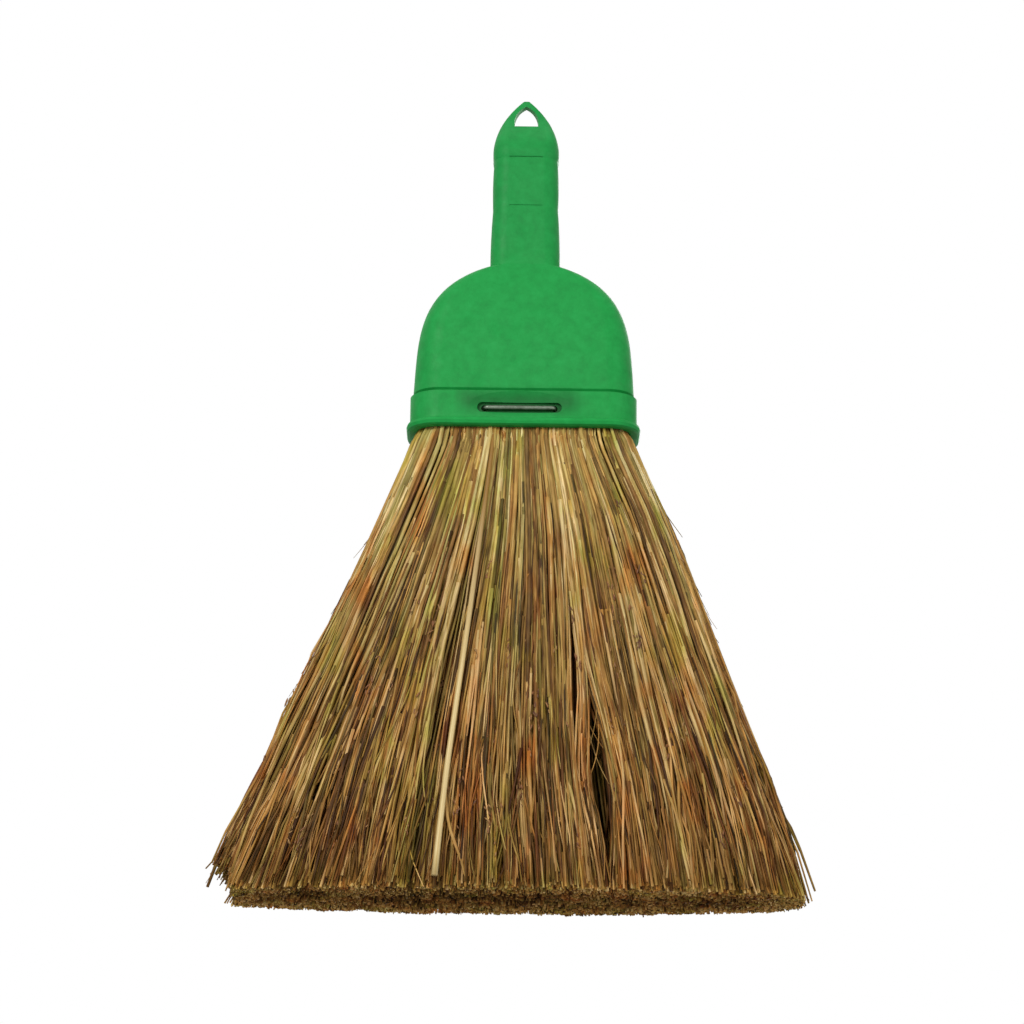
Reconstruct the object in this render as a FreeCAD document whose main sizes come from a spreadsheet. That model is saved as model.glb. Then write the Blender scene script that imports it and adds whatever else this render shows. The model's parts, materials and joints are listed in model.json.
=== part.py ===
import FreeCAD, Part
import Sketcher
import math
import os
from collections import namedtuple

# Whisk hand broom: a hollow green cap moulded with its grip, a fan of straw bunches
# wound with wire inside the cap, and one staple through the cap and the bunches.
# The broom stands on its trimmed tips. Z runs up the grip, X across the fan, -Y is the front.

driving_sizes = {
    # straw fan
    "free_length": 180,
    "tip_width": 213,
    "tip_depth": 54,
    "tip_corner": 16,
    "tip_lens": 0.34,
    "lens_power": 2.2,
    "skirt_rise": 45,
    "skirt_width": 195,
    "skirt_lean": 2.2,
    "split_rise": 88,
    "split_width": 6.4,
    "split_tip_width": 4,
    "bunch_gap": 0.4,
    "mouth_clearance": 0.3,
    "flare_drop": 5,
    "mouth_bulge": 0.7,
    "tip_bulge": 2.2,
    "tuck_length": 40,
    "throat_rise": 20,
    "throat_squeeze": 3.2,
    "butt_flat": 0.4,
    # cap
    "band_width": 87,
    "band_depth": 33,
    "band_height": 13.8,
    "band_step": 1.1,
    "step_rise": 1.6,
    "line_depth": 0.7,
    "bead_height": 3.2,
    "bead_reach": 1.3,
    "cap_corner": 11,
    "cap_wall": 2.6,
    "dome_height": 54.7,
    "dome_power": 4,
    "dome_taper": 0.07,
    "dome_thinning_power": 2,
    # grip
    "grip_width": 25.8,
    "grip_root_width": 26.9,
    "grip_depth": 20,
    "grip_corner": 6,
    "grip_wall": 3,
    "grip_root": 6,
    "grip_core_root": 7.8,
    "root_length": 24.3,
    "swell_length": 20.5,
    "crest_length": 2.5,
    "crease_depth": 0.45,
    "crease_line_width": 13,
    "crease_line_height": 0.8,
    "crease_line_depth": 0.25,
    "crease_line_roundness": 0.9,
    "nose_length": 25.8,
    "nose_top_depth": 3.2,
    "nose_thinning_power": 2.8,
    "hang_width": 9.4,
    "hang_height": 9.9,
    "hang_side": 2.5,
    "hang_wall": 2.2,
    # staple and its seats
    "staple_wire": 1.8,
    "staple_span": 26.7,
    "staple_shift": 1.6,
    "staple_rise": 7.2,
    "staple_bend": 1.5,
    "clinch_length": 8,
    "wire_clearance": 0.15,
    "leg_clearance": 0.3,
    "slot_margin": 0.7,
    "slot_height": 4.2,
    "slot_depth": 0.8,
    "dish_depth": 1,
    "dish_length": 38,
    "dish_height": 10.2,
    "dish_rise": 8.7,
    # wire winding
    "binding_wire": 1.2,
    "binding_turns": 6,
    "binding_pitch": 1.8,
    "binding_clearance": 0.3,
    # thick straw
    "reed_diameter": 2.4,
    "reed_clearance": 0.25,
    "reed_mouth_offset": 11.3,
    "reed_skirt_share": 0.33,
    "reed_tip_offset": 30.6,
}

# Where the columns of bunches meet, as shares of the straight middle of the fan
column_shares = (-1, -0.68, -0.28, 0.06, 0.435, 0.71, 1)
columns = len(column_shares) - 1
reed_column = 1
layers = ("front", "core", "back")
split_edge = 4
split_layers = ("front", "core")
gap_points_per_turn = 60
dome_shares = (0, 0.3, 0.5, 0.66, 0.79, 0.88, 0.95, 1)
nose_shares = (0, 0.25, 0.5, 0.7, 0.85, 0.96)
bead_angles = (0, 45, 90, 135, 180)
line_shares = (0.15, 0.5)

document = FreeCAD.newDocument("hand_broom")
sheet = document.addObject("Spreadsheet::Sheet", "sizes")
for row, (alias, size) in enumerate(driving_sizes.items(), start=1):
    sheet.set(f"A{row}", alias.replace("_", " "))
    sheet.set(f"B{row}", str(size))
    sheet.setAlias(f"B{row}", alias)
document.recompute()

# Levels and half sizes that several pieces share, as expressions on the sheet
rim = "sizes.free_length"
band_top = f"({rim} + sizes.band_height)"
dome_base = f"({band_top} + sizes.step_rise)"
band_half = "(sizes.band_width / 2)"
band_deep = "(sizes.band_depth / 2)"
dome_half = f"({band_half} - sizes.band_step)"
dome_deep = f"({band_deep} - sizes.band_step)"
grip_half = "(sizes.grip_width / 2)"
grip_deep = "(sizes.grip_depth / 2)"
root_half = "(sizes.grip_root_width / 2)"
neck_share = f"((1 - ({root_half} / {dome_half}) ^ 2) ^ (1 / sizes.dome_power))"
neck = f"({dome_base} + sizes.dome_height * {neck_share})"
first_crease = f"({neck} + sizes.root_length)"
second_crease = f"({first_crease} + sizes.swell_length)"
nose_base = f"({second_crease} + sizes.crest_length)"
nose_top = f"({nose_base} + sizes.nose_length * {nose_shares[-1]})"
staple_level = f"({rim} + sizes.staple_rise)"
staple_middle = "(-1 * sizes.staple_shift)"
leg_offset = "(sizes.staple_span / 2)"
leg_hole_radius = "(sizes.staple_wire / 2 + sizes.leg_clearance)"
front_slot_floor = f"({band_deep} - sizes.dish_depth - sizes.slot_depth)"
back_slot_floor = f"({band_deep} - sizes.slot_depth)"
crown_depth = f"({front_slot_floor} + sizes.wire_clearance + sizes.staple_wire / 2)"
clinch_depth = f"({back_slot_floor} + sizes.wire_clearance + sizes.staple_wire / 2)"
mouth_deep = f"({band_deep} - sizes.cap_wall - sizes.mouth_clearance)"
mouth_straight = f"({band_half} - {band_deep})"
throat_deep = f"({mouth_deep} - sizes.throat_squeeze)"
tip_deep = "(sizes.tip_depth / 2)"
tip_straight = f"(sizes.tip_width / 2 - {tip_deep})"
throat = f"({rim} + sizes.throat_rise)"
butt = f"({rim} + sizes.tuck_length)"
butt_corner = f"({throat_deep} - sizes.butt_flat)"
flare = f"({rim} - sizes.flare_drop)"
skirt_share = f"(sizes.skirt_rise / {flare})"
skirt_deep = f"({tip_deep} + ({band_deep} - {tip_deep}) * {skirt_share})"
skirt_straight = f"(sizes.skirt_width / 2 - {skirt_deep})"
skirt_bulge = f"(sizes.tip_bulge + (sizes.mouth_bulge - sizes.tip_bulge) * {skirt_share})"
skirt_corner = f"(sizes.tip_corner + (sizes.cap_corner - sizes.tip_corner) * {skirt_share})"
skirt_lens = f"(sizes.tip_lens * (1 - {skirt_share}))"
fork_share = f"((sizes.split_rise - sizes.skirt_rise) / ({flare} - sizes.skirt_rise))"
mouth_corner = "(sizes.cap_corner - sizes.cap_wall - sizes.mouth_clearance)"
outside = "sizes.band_depth"

pieces = []


def number(expression):
    return float(sheet.evalExpression(str(expression)))


def new_body(name):
    body = document.addObject("PartDesign::Body", name)
    body.Label = name
    body.Placement = FreeCAD.Placement()
    pieces.append(body)
    return body


def origin_plane(body, role):
    for feature in body.Origin.OriginFeatures:
        if feature.Role == role:
            return feature
    raise ValueError(role)


def new_sketch(body, name, role, offset):
    sketch = body.newObject("Sketcher::SketchObject", name)
    sketch.AttachmentSupport = [(origin_plane(body, role), "")]
    sketch.MapMode = "FlatFace"
    sketch.AttachmentOffset = FreeCAD.Placement(
        FreeCAD.Vector(0, 0, number(offset)), FreeCAD.Rotation()
    )
    sketch.setExpression("AttachmentOffset.Base.z", str(offset))
    return sketch


def bind(sketch, kind, *parts):
    # The last of the parts is the expression that drives the constraint
    expression = str(parts[-1])
    index = sketch.addConstraint(
        Sketcher.Constraint(kind, *parts[:-1], number(expression))
    )
    sketch.setExpression(f"Constraints[{index}]", expression)


def place(sketch, curve, point, across, along):
    bind(sketch, "DistanceX", -1, 1, curve, point, across)
    bind(sketch, "DistanceY", -1, 1, curve, point, along)


def flat(across, along):
    return FreeCAD.Vector(number(across), number(along), 0)


def arc_about(center, radius, start, end):
    circle = Part.Circle(center, FreeCAD.Vector(0, 0, 1), radius)
    return Part.ArcOfCircle(circle, math.radians(start), math.radians(end))


def draw_circle(sketch, across, along, radius):
    circle = Part.Circle(flat(across, along), FreeCAD.Vector(0, 0, 1), number(radius))
    curve = sketch.addGeometry(circle)
    place(sketch, curve, 3, across, along)
    bind(sketch, "Radius", curve, radius)


def draw_polygon(sketch, corners):
    points = [flat(*corner) for corner in corners]
    curves = []
    for start, end in zip(points, points[1:] + points[:1]):
        curves.append(sketch.addGeometry(Part.LineSegment(start, end)))
    for curve, following in zip(curves, curves[1:] + curves[:1]):
        sketch.addConstraint(Sketcher.Constraint("Coincident", curve, 2, following, 1))
    for curve, corner in zip(curves, corners):
        place(sketch, curve, 1, *corner)


def draw_rounded_box(sketch, half_across, half_along, corner, level="0"):
    # Four corner arcs, tangent to four straight sides, about a centre at height level
    inner = flat(f"{half_across} - {corner}", f"{half_along} - {corner}")
    radius = number(corner)
    middle = number(level)
    signs = ((1, 1), (-1, 1), (-1, -1), (1, -1))
    arcs = []
    for quarter, (side, end) in enumerate(signs):
        center = FreeCAD.Vector(side * inner.x, middle + end * inner.y, 0)
        arcs.append(sketch.addGeometry(arc_about(center, radius, 90 * quarter, 90 * quarter + 90)))
    ends = [sketch.Geometry[arc] for arc in arcs]
    for index, arc in enumerate(arcs):
        following = arcs[(index + 1) % len(arcs)]
        side_line = Part.LineSegment(ends[index].EndPoint, ends[(index + 1) % len(arcs)].StartPoint)
        line = sketch.addGeometry(side_line)
        sketch.addConstraint(Sketcher.Constraint("Tangent", arc, 2, line, 1))
        sketch.addConstraint(Sketcher.Constraint("Tangent", line, 2, following, 1))
    for arc, (side, end) in zip(arcs, signs):
        across = f"{side} * ({half_across} - {corner})"
        along = f"{level} + {end} * ({half_along} - {corner})"
        place(sketch, arc, 3, across, along)
        bind(sketch, "Radius", arc, corner)


def draw_stadium(sketch, straight, radius, middle, level):
    # Two half circles whose centres stand straight to each side of the middle
    round_end = number(radius)
    right_center = (f"{middle} + {straight}", level)
    left_center = (f"{middle} - {straight}", level)
    right = sketch.addGeometry(arc_about(flat(*right_center), round_end, -90, 90))
    left = sketch.addGeometry(arc_about(flat(*left_center), round_end, 90, 270))
    right_end = sketch.Geometry[right]
    left_end = sketch.Geometry[left]
    upper = sketch.addGeometry(Part.LineSegment(right_end.EndPoint, left_end.StartPoint))
    lower = sketch.addGeometry(Part.LineSegment(left_end.EndPoint, right_end.StartPoint))
    for first, second in ((right, upper), (upper, left), (left, lower), (lower, right)):
        sketch.addConstraint(Sketcher.Constraint("Tangent", first, 2, second, 1))
    sketch.addConstraint(Sketcher.Constraint("Equal", right, left))
    place(sketch, right, 3, *right_center)
    place(sketch, left, 3, *left_center)
    bind(sketch, "Radius", right, radius)


def rounded_section(body, name, level, half_width, half_depth, corner):
    sketch = new_sketch(body, name, "XY_Plane", level)
    draw_rounded_box(sketch, half_width, half_depth, corner)
    return sketch


def cap_section(body, name, level, half_width, half_depth, inset="0"):
    # The corners of the cap shrink with its depth, and an inset slice leaves an even wall
    corner = f"(sizes.cap_corner * {half_depth} / {band_deep} - {inset})"
    inner_half = f"({half_width} - {inset})"
    inner_deep = f"({half_depth} - {inset})"
    return rounded_section(body, name, level, inner_half, inner_deep, corner)


def loft(body, name, sections, ruled, kind="Additive"):
    feature = body.newObject(f"PartDesign::{kind}Loft", name)
    feature.Profile = sections[0]
    feature.Sections = sections[1:]
    feature.Ruled = ruled
    feature.Refine = False
    document.recompute()
    return feature


def cut_outwards(body, name, sketch, reach, to_front):
    # Clears everything from the sketch plane out past the face on that side
    pocket = body.newObject("PartDesign::Pocket", name)
    pocket.Profile = sketch
    pocket.Type = "Length"
    pocket.setExpression("Length", str(reach))
    pocket.Reversed = to_front
    document.recompute()
    return pocket


def cut_through(body, name, sketch):
    pocket = body.newObject("PartDesign::Pocket", name)
    pocket.Profile = sketch
    pocket.SideType = "Symmetric"
    pocket.Type = "Length"
    pocket.setExpression("Length", f"2 * ({outside} + sizes.tip_depth)")
    document.recompute()
    return pocket


def dome_station(share):
    # Half width, half depth and rise of the dome where it has climbed this share of its way to the neck
    rise = f"({share} * {neck_share})"
    taper = f"(1 - sizes.dome_taper * {rise})"
    half_width = f"({dome_half} * {taper} * sqrt(1 - {rise} ^ sizes.dome_power))"
    thinning = f"({share} ^ sizes.dome_thinning_power)"
    half_depth = f"({dome_deep} + ({grip_deep} - {dome_deep}) * {thinning})"
    return half_width, half_depth, rise


def nose_station(share):
    # The front view of the nose is a pointed arch, and its side view thins to the top
    rise = f"({share} * sizes.nose_length)"
    arch = f"((sizes.nose_length ^ 2 + {grip_half} ^ 2) / sizes.grip_width)"
    half_width = f"(sqrt({arch} ^ 2 - {rise} ^ 2) - {arch} + {grip_half})"
    thinning = f"(cos(90 * {share}) ^ sizes.nose_thinning_power)"
    half_depth = f"(sizes.nose_top_depth / 2 + ({grip_deep} - sizes.nose_top_depth / 2) * {thinning})"
    corner = f"(sizes.grip_corner * min({half_depth}; {half_width}) / {grip_deep})"
    return f"({nose_base} + {rise})", half_width, half_depth, corner


def build_cap_shell(body):
    # A narrow groove runs round the cap where the dome stands on the band
    band = [
        cap_section(body, "band_at_rim", rim, band_half, band_deep),
        cap_section(body, "band_at_top", band_top, band_half, band_deep),
    ]
    line_half = f"({dome_half} - sizes.line_depth)"
    line_deep = f"({dome_deep} - sizes.line_depth)"
    for index, share in enumerate(line_shares):
        level = f"({band_top} + sizes.step_rise * {share})"
        band.append(cap_section(body, f"line_{index}", level, line_half, line_deep))
    band.append(cap_section(body, "band_at_step", dome_base, dome_half, dome_deep))
    loft(body, "band", band, ruled=True)
    bead = []
    for angle in bead_angles:
        level = f"({rim} + sizes.bead_height / 2 * (1 - cos({angle})))"
        swell = f"sizes.bead_reach * sin({angle})"
        half_width = f"({band_half} + {swell})"
        half_depth = f"({band_deep} + {swell})"
        bead.append(cap_section(body, f"bead_at_{angle}", level, half_width, half_depth))
    loft(body, "rim_bead", bead, ruled=True)
    dome = []
    for index, share in enumerate(dome_shares):
        half_width, half_depth, rise = dome_station(share)
        level = f"({dome_base} + sizes.dome_height * {rise})"
        dome.append(cap_section(body, f"dome_{index}", level, half_width, half_depth))
    loft(body, "dome", dome, ruled=False)


def build_grip(body):
    root = f"({neck} - sizes.grip_root)"
    lower_half = f"(({root_half} + {grip_half}) / 2 - sizes.crease_depth)"
    upper_half = f"({grip_half} - sizes.crease_depth)"
    crease_deep = f"({grip_deep} - sizes.crease_depth)"
    corner = "sizes.grip_corner"
    crease_corner = "(sizes.grip_corner - sizes.crease_depth)"
    lower_middle = f"(({root} + {first_crease}) / 2)"
    upper_middle = f"(({first_crease} + {second_crease}) / 2)"
    lower_swell = [
        rounded_section(body, "lower_swell_start", root, root_half, grip_deep, corner),
        rounded_section(body, "lower_swell_middle", lower_middle, root_half, grip_deep, corner),
        rounded_section(body, "lower_swell_end", first_crease, lower_half, crease_deep, crease_corner),
    ]
    loft(body, "lower_swell", lower_swell, ruled=False)
    upper_swell = [
        rounded_section(body, "upper_swell_start", first_crease, lower_half, crease_deep, crease_corner),
        rounded_section(body, "upper_swell_middle", upper_middle, grip_half, grip_deep, corner),
        rounded_section(body, "upper_swell_end", second_crease, upper_half, crease_deep, crease_corner),
    ]
    loft(body, "upper_swell", upper_swell, ruled=False)
    nose = [rounded_section(body, "nose_root", second_crease, upper_half, crease_deep, crease_corner)]
    for index, share in enumerate(nose_shares):
        nose.append(rounded_section(body, f"nose_{index}", *nose_station(share)))
    loft(body, "nose", nose, ruled=False)


def hollow_cap(body):
    wall = "sizes.cap_wall"
    mouth = [
        cap_section(body, "mouth_at_rim", rim, band_half, band_deep, wall),
        cap_section(body, "mouth_at_step", dome_base, dome_half, dome_deep, wall),
    ]
    loft(body, "mouth", mouth, ruled=True, kind="Subtractive")
    vault = []
    for index, share in enumerate(dome_shares):
        half_width, half_depth, rise = dome_station(share)
        level = f"({dome_base} + (sizes.dome_height - sizes.cap_wall) * {rise})"
        vault.append(cap_section(body, f"vault_{index}", level, half_width, half_depth, wall))
    loft(body, "vault", vault, ruled=False, kind="Subtractive")
    core_half = f"({grip_half} - sizes.grip_wall)"
    core_deep = f"({grip_deep} - sizes.grip_wall)"
    core_corner = "(sizes.grip_corner - sizes.grip_wall)"
    core_ends = (
        ("core_at_neck", f"({neck} - sizes.grip_core_root)"),
        ("core_at_top", f"({second_crease} - sizes.grip_wall)"),
    )
    core = []
    for name, level in core_ends:
        core.append(rounded_section(body, name, level, core_half, core_deep, core_corner))
    loft(body, "grip_core", core, ruled=True, kind="Subtractive")


def cut_staple_seats(body):
    # A shallow barrel-shaped dish, a slot for the crown, a slot for the clinched ends, and two leg holes
    dish = new_sketch(body, "dish_profile", "XY_Plane", f"({rim} + sizes.dish_rise)")
    half_length = "(sizes.dish_length / 2)"
    standoff = "((sizes.dish_height ^ 2 / 4 - sizes.dish_depth ^ 2) / (2 * sizes.dish_depth))"
    sweep_radius = f"(({half_length} ^ 2 + sizes.dish_depth ^ 2) / (2 * sizes.dish_depth))"
    overrun = "(sizes.dish_depth / 2)"
    axis_depth = f"(-1 * ({band_deep} + {standoff}))"
    end_depth = f"(-1 * ({band_deep} + {overrun}))"
    arc_depth = f"(sizes.dish_depth - {band_deep} - {sweep_radius})"
    end_half = f"sqrt({sweep_radius} ^ 2 - ({sweep_radius} - sizes.dish_depth - {overrun}) ^ 2)"
    center = flat(staple_middle, arc_depth)
    spread = math.degrees(math.asin(number(end_half) / number(sweep_radius)))
    arc = dish.addGeometry(arc_about(center, number(sweep_radius), 90 - spread, 90 + spread))
    left_end = f"({staple_middle} - {end_half})"
    right_end = f"({staple_middle} + {end_half})"
    corners = [(left_end, end_depth), (left_end, axis_depth), (right_end, axis_depth), (right_end, end_depth)]
    points = [flat(*corner) for corner in corners]
    lines = [dish.addGeometry(Part.LineSegment(*ends)) for ends in zip(points, points[1:])]
    chain = [(arc, 2, lines[0]), (lines[0], 2, lines[1]), (lines[1], 2, lines[2])]
    for curve, end, following in chain:
        dish.addConstraint(Sketcher.Constraint("Coincident", curve, end, following, 1))
    dish.addConstraint(Sketcher.Constraint("Coincident", lines[2], 2, arc, 1))
    for line, corner in zip(lines, corners):
        place(dish, line, 1, *corner)
    place(dish, lines[2], 2, *corners[3])
    bind(dish, "Radius", arc, sweep_radius)
    groove = body.newObject("PartDesign::Groove", "dish")
    groove.Profile = dish
    groove.ReferenceAxis = (dish, [f"Edge{lines[1] + 1}"])
    groove.Angle = 360
    document.recompute()
    slot_radius = "(sizes.slot_height / 2)"
    slot_straight = f"({leg_offset} + sizes.slot_margin)"
    front = new_sketch(body, "front_slot_profile", "XZ_Plane", front_slot_floor)
    draw_stadium(front, slot_straight, slot_radius, staple_middle, staple_level)
    cut_outwards(body, "front_slot", front, outside, to_front=True)
    back = new_sketch(body, "back_slot_profile", "XZ_Plane", f"(-1 * {back_slot_floor})")
    draw_stadium(back, slot_straight, slot_radius, staple_middle, staple_level)
    cut_outwards(body, "back_slot", back, outside, to_front=False)
    drill_leg_holes(body)


def drill_leg_holes(body):
    holes = new_sketch(body, "leg_hole_profile", "XZ_Plane", "0")
    for side in (-1, 1):
        draw_circle(holes, f"{staple_middle} + {side} * {leg_offset}", staple_level, leg_hole_radius)
    cut_through(body, "leg_holes", holes)


def cut_grip_marks(body):
    line_floor = f"({grip_deep} - sizes.crease_depth - sizes.crease_line_depth)"
    half_line = "(sizes.crease_line_width / 2)"
    half_height = "(sizes.crease_line_height / 2)"
    corner = f"({half_height} * sizes.crease_line_roundness)"
    for place_name, level in (("lower", first_crease), ("upper", second_crease)):
        for side, to_front in ((1, True), (-1, False)):
            name = f"{place_name}_{'front' if to_front else 'back'}_line"
            sketch = new_sketch(body, f"{name}_profile", "XZ_Plane", f"({side} * {line_floor})")
            draw_rounded_box(sketch, half_line, half_height, corner, level)
            cut_outwards(body, name, sketch, outside, to_front)


def cut_hang_hole(body):
    # Short straight sides over a flat sill carry a pointed arch, whose top is one wall below the nose
    apex = f"({nose_top} - sizes.hang_wall)"
    sill = f"({apex} - sizes.hang_height)"
    spring = f"({sill} + sizes.hang_side)"
    half = "(sizes.hang_width / 2)"
    arch_height = "(sizes.hang_height - sizes.hang_side)"
    arch = f"(({arch_height} ^ 2 + {half} ^ 2) / sizes.hang_width)"
    sketch = new_sketch(body, "hang_hole_profile", "XZ_Plane", "0")
    radius = number(arch)
    rise = math.degrees(math.asin(number(arch_height) / radius))
    right_center = flat(f"{half} - {arch}", spring)
    left_center = flat(f"{arch} - {half}", spring)
    corners = [(f"-1 * {half}", spring), (f"-1 * {half}", sill), (half, sill), (half, spring)]
    points = [flat(*corner) for corner in corners]
    right = sketch.addGeometry(arc_about(right_center, radius, 0, rise))
    left = sketch.addGeometry(arc_about(left_center, radius, 180 - rise, 180))
    chain = [right, left]
    for start, end in zip(points, points[1:]):
        chain.append(sketch.addGeometry(Part.LineSegment(start, end)))
    for curve, following in zip(chain, chain[1:] + chain[:1]):
        sketch.addConstraint(Sketcher.Constraint("Coincident", curve, 2, following, 1))
    for curve, corner in zip(chain[2:], corners):
        place(sketch, curve, 1, *corner)
    place(sketch, right, 1, *corners[-1])
    place(sketch, right, 2, "0", apex)
    bind(sketch, "Radius", right, arch)
    bind(sketch, "Radius", left, arch)
    cut_through(body, "hang_hole", sketch)


def build_cap_handle():
    body = new_body("cap_handle")
    build_cap_shell(body)
    build_grip(body)
    hollow_cap(body)
    cut_staple_seats(body)
    cut_grip_marks(body)
    cut_hang_hole(body)


def draw_cell(sketch, corners, bow, layer):
    # A four-sided cell from its front left corner round. The side that looks out of the fan is bowed.
    if layer == "core":
        draw_polygon(sketch, corners)
        return
    ordered = corners if layer == "front" else corners[2:] + corners[:2]
    (first_across, first_along), (second_across, second_along) = ordered[:2]
    chord_square = f"(({second_across} - {first_across}) ^ 2 + ({second_along} - {first_along}) ^ 2)"
    radius = f"(({chord_square} / 4 + {bow} ^ 2) / (2 * {bow}))"
    points = [flat(*corner) for corner in ordered]
    chord = points[1] - points[0]
    inward = FreeCAD.Vector(-chord.y, chord.x, 0).normalize()
    center = (points[0] + points[1]) / 2 + inward * (number(radius) - number(bow))
    spoke = points[0] - center
    first_angle = math.degrees(math.atan2(spoke.y, spoke.x))
    sweep = 2 * math.degrees(math.asin(chord.Length / 2 / number(radius)))
    chain = [sketch.addGeometry(arc_about(center, number(radius), first_angle, first_angle + sweep))]
    for start, end in ((1, 2), (2, 3), (3, 0)):
        chain.append(sketch.addGeometry(Part.LineSegment(points[start], points[end])))
    for curve, following in zip(chain, chain[1:] + chain[:1]):
        sketch.addConstraint(Sketcher.Constraint("Coincident", curve, 2, following, 1))
    for curve, corner in zip(chain, ordered):
        place(sketch, curve, 1, *corner)
    bind(sketch, "Radius", chain[0], radius)


def draw_shoulder(sketch, side, level):
    # The end of the fan: a flat inner face, a front and a back that draw together, and a round outer end
    face, edge_deep = column_edge(level, 0 if side < 0 else columns, "sizes.bunch_gap", side)
    face_deep = f"({edge_deep} - {level.bow} * {level.lens} / sizes.tip_lens)"
    turn = f"({side} * ({level.straight} + {level.deep} - {level.corner}) - {level.lean})"
    side_deep = f"({level.deep} * (1 - {level.lens}) - {level.corner})"
    radius = number(level.corner)
    across = abs(number(f"{turn} - {face}"))
    along = number(f"{face_deep} - {side_deep}")
    slope = math.degrees(math.atan2(along, across) - math.asin(radius / math.hypot(across, along)))
    start = 0 if side > 0 else 180
    arcs = []
    for end in (-1, 1):
        sweep = (start, start + side * end * (90 - slope))
        center = flat(turn, f"{end} * {side_deep}")
        arcs.append(sketch.addGeometry(arc_about(center, radius, min(sweep), max(sweep))))
    front_arc, back_arc = (sketch.Geometry[arc] for arc in arcs)
    if side > 0:
        rounds = (front_arc.StartPoint, front_arc.EndPoint, back_arc.StartPoint, back_arc.EndPoint)
    else:
        rounds = (front_arc.EndPoint, front_arc.StartPoint, back_arc.EndPoint, back_arc.StartPoint)
    front_corner = (face, f"-1 * {face_deep}")
    back_corner = (face, face_deep)
    points = [flat(*front_corner), *rounds, flat(*back_corner)]
    front, outside_face, back, inside_face = [
        sketch.addGeometry(Part.LineSegment(points[first], points[second]))
        for first, second in ((0, 1), (2, 3), (4, 5), (5, 0))
    ]
    near, far = (1, 2) if side > 0 else (2, 1)
    sketch.addConstraint(Sketcher.Constraint("Tangent", front, 2, arcs[0], near))
    sketch.addConstraint(Sketcher.Constraint("Tangent", arcs[0], far, outside_face, 1))
    sketch.addConstraint(Sketcher.Constraint("Tangent", outside_face, 2, arcs[1], near))
    sketch.addConstraint(Sketcher.Constraint("Tangent", arcs[1], far, back, 1))
    sketch.addConstraint(Sketcher.Constraint("Coincident", back, 2, inside_face, 1))
    sketch.addConstraint(Sketcher.Constraint("Coincident", inside_face, 2, front, 1))
    for arc, end in zip(arcs, (-1, 1)):
        place(sketch, arc, 3, turn, f"{end} * {side_deep}")
        bind(sketch, "Radius", arc, level.corner)
    place(sketch, front, 1, *front_corner)
    place(sketch, back, 2, *back_corner)


# Each level of the fan: half width of its straight middle, half depth, bow of each bunch, corner of its
# round ends, shift to the left, share of the depth lost at the ends, and width of the one split
FanLevel = namedtuple("FanLevel", "name height straight deep bow corner lean lens split")


def towards_flare(at_skirt, at_flare):
    return f"({at_skirt} + ({at_flare} - {at_skirt}) * {fork_share})"


tip_level = FanLevel(
    "tip", "0", tip_straight, tip_deep, "sizes.tip_bulge", "sizes.tip_corner",
    "0", "sizes.tip_lens", "sizes.split_tip_width",
)
skirt_level = FanLevel(
    "skirt", "sizes.skirt_rise", skirt_straight, skirt_deep, skirt_bulge, skirt_corner,
    "sizes.skirt_lean", skirt_lens, "sizes.split_width",
)
fork_level = FanLevel(
    "fork", "sizes.split_rise",
    towards_flare(skirt_straight, mouth_straight), towards_flare(skirt_deep, band_deep),
    towards_flare(skirt_bulge, "sizes.mouth_bulge"), towards_flare(skirt_corner, "sizes.cap_corner"),
    towards_flare("sizes.skirt_lean", "0"), towards_flare(skirt_lens, "0"), "sizes.bunch_gap",
)
upper_levels = [
    FanLevel(name, height, mouth_straight, deep, "sizes.mouth_bulge", corner, "0", "0", "sizes.bunch_gap")
    for name, height, deep, corner in (
        ("flare", flare, band_deep, "sizes.cap_corner"),
        ("mouth", rim, mouth_deep, mouth_corner),
        ("throat", throat, throat_deep, butt_corner),
        ("butt", butt, throat_deep, butt_corner),
    )
]
fan_levels = [tip_level, skirt_level] + upper_levels
split_levels = [tip_level, skirt_level, fork_level] + upper_levels


def fan_depth(level, reach):
    # Half depth of the fan at this share of its half width
    return f"({level.deep} * (1 - {level.lens} * {reach} ^ sizes.lens_power))"


def column_edge(level, edge, gap, side):
    # Place across the fan, and half depth, of the side of a bunch where two columns meet
    share = column_shares[edge]
    across = f"({level.straight} * {share} - {level.lean} + {side} * {gap} / 2)"
    reach = f"({level.straight} * {abs(share)} / ({level.straight} + {level.deep}))"
    return across, fan_depth(level, reach)


def bunch_rows(layer, deep, bow):
    # Where a layer starts and ends between the front and the back of the fan
    outer = f"({deep} - {bow})"
    inner = f"({deep} / {len(layers)} + sizes.bunch_gap / 2)"
    core = f"({deep} / {len(layers)} - sizes.bunch_gap / 2)"
    rows = {
        "front": (f"(-1 * {outer})", f"(-1 * {inner})"),
        "core": (f"(-1 * {core})", core),
        "back": (inner, outer),
    }
    return rows[layer]


def build_bunch(layer, column):
    body = new_body(f"{layer}_bunch_{column + 1}")
    split_left = layer in split_layers and column == split_edge
    split_right = layer in split_layers and column + 1 == split_edge
    sections = []
    for level in split_levels if split_left or split_right else fan_levels:
        left_gap = level.split if split_left else "sizes.bunch_gap"
        right_gap = level.split if split_right else "sizes.bunch_gap"
        left, left_deep = column_edge(level, column, left_gap, 1)
        right, right_deep = column_edge(level, column + 1, right_gap, -1)
        left_near, left_far = bunch_rows(layer, left_deep, level.bow)
        right_near, right_far = bunch_rows(layer, right_deep, level.bow)
        corners = [(left, left_near), (right, right_near), (right, right_far), (left, left_far)]
        sketch = new_sketch(body, f"{body.Name}_{level.name}", "XY_Plane", level.height)
        draw_cell(sketch, corners, level.bow, layer)
        sections.append(sketch)
    loft(body, f"{body.Name}_loft", sections, ruled=True)
    drill_leg_holes(body)
    return body


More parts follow.
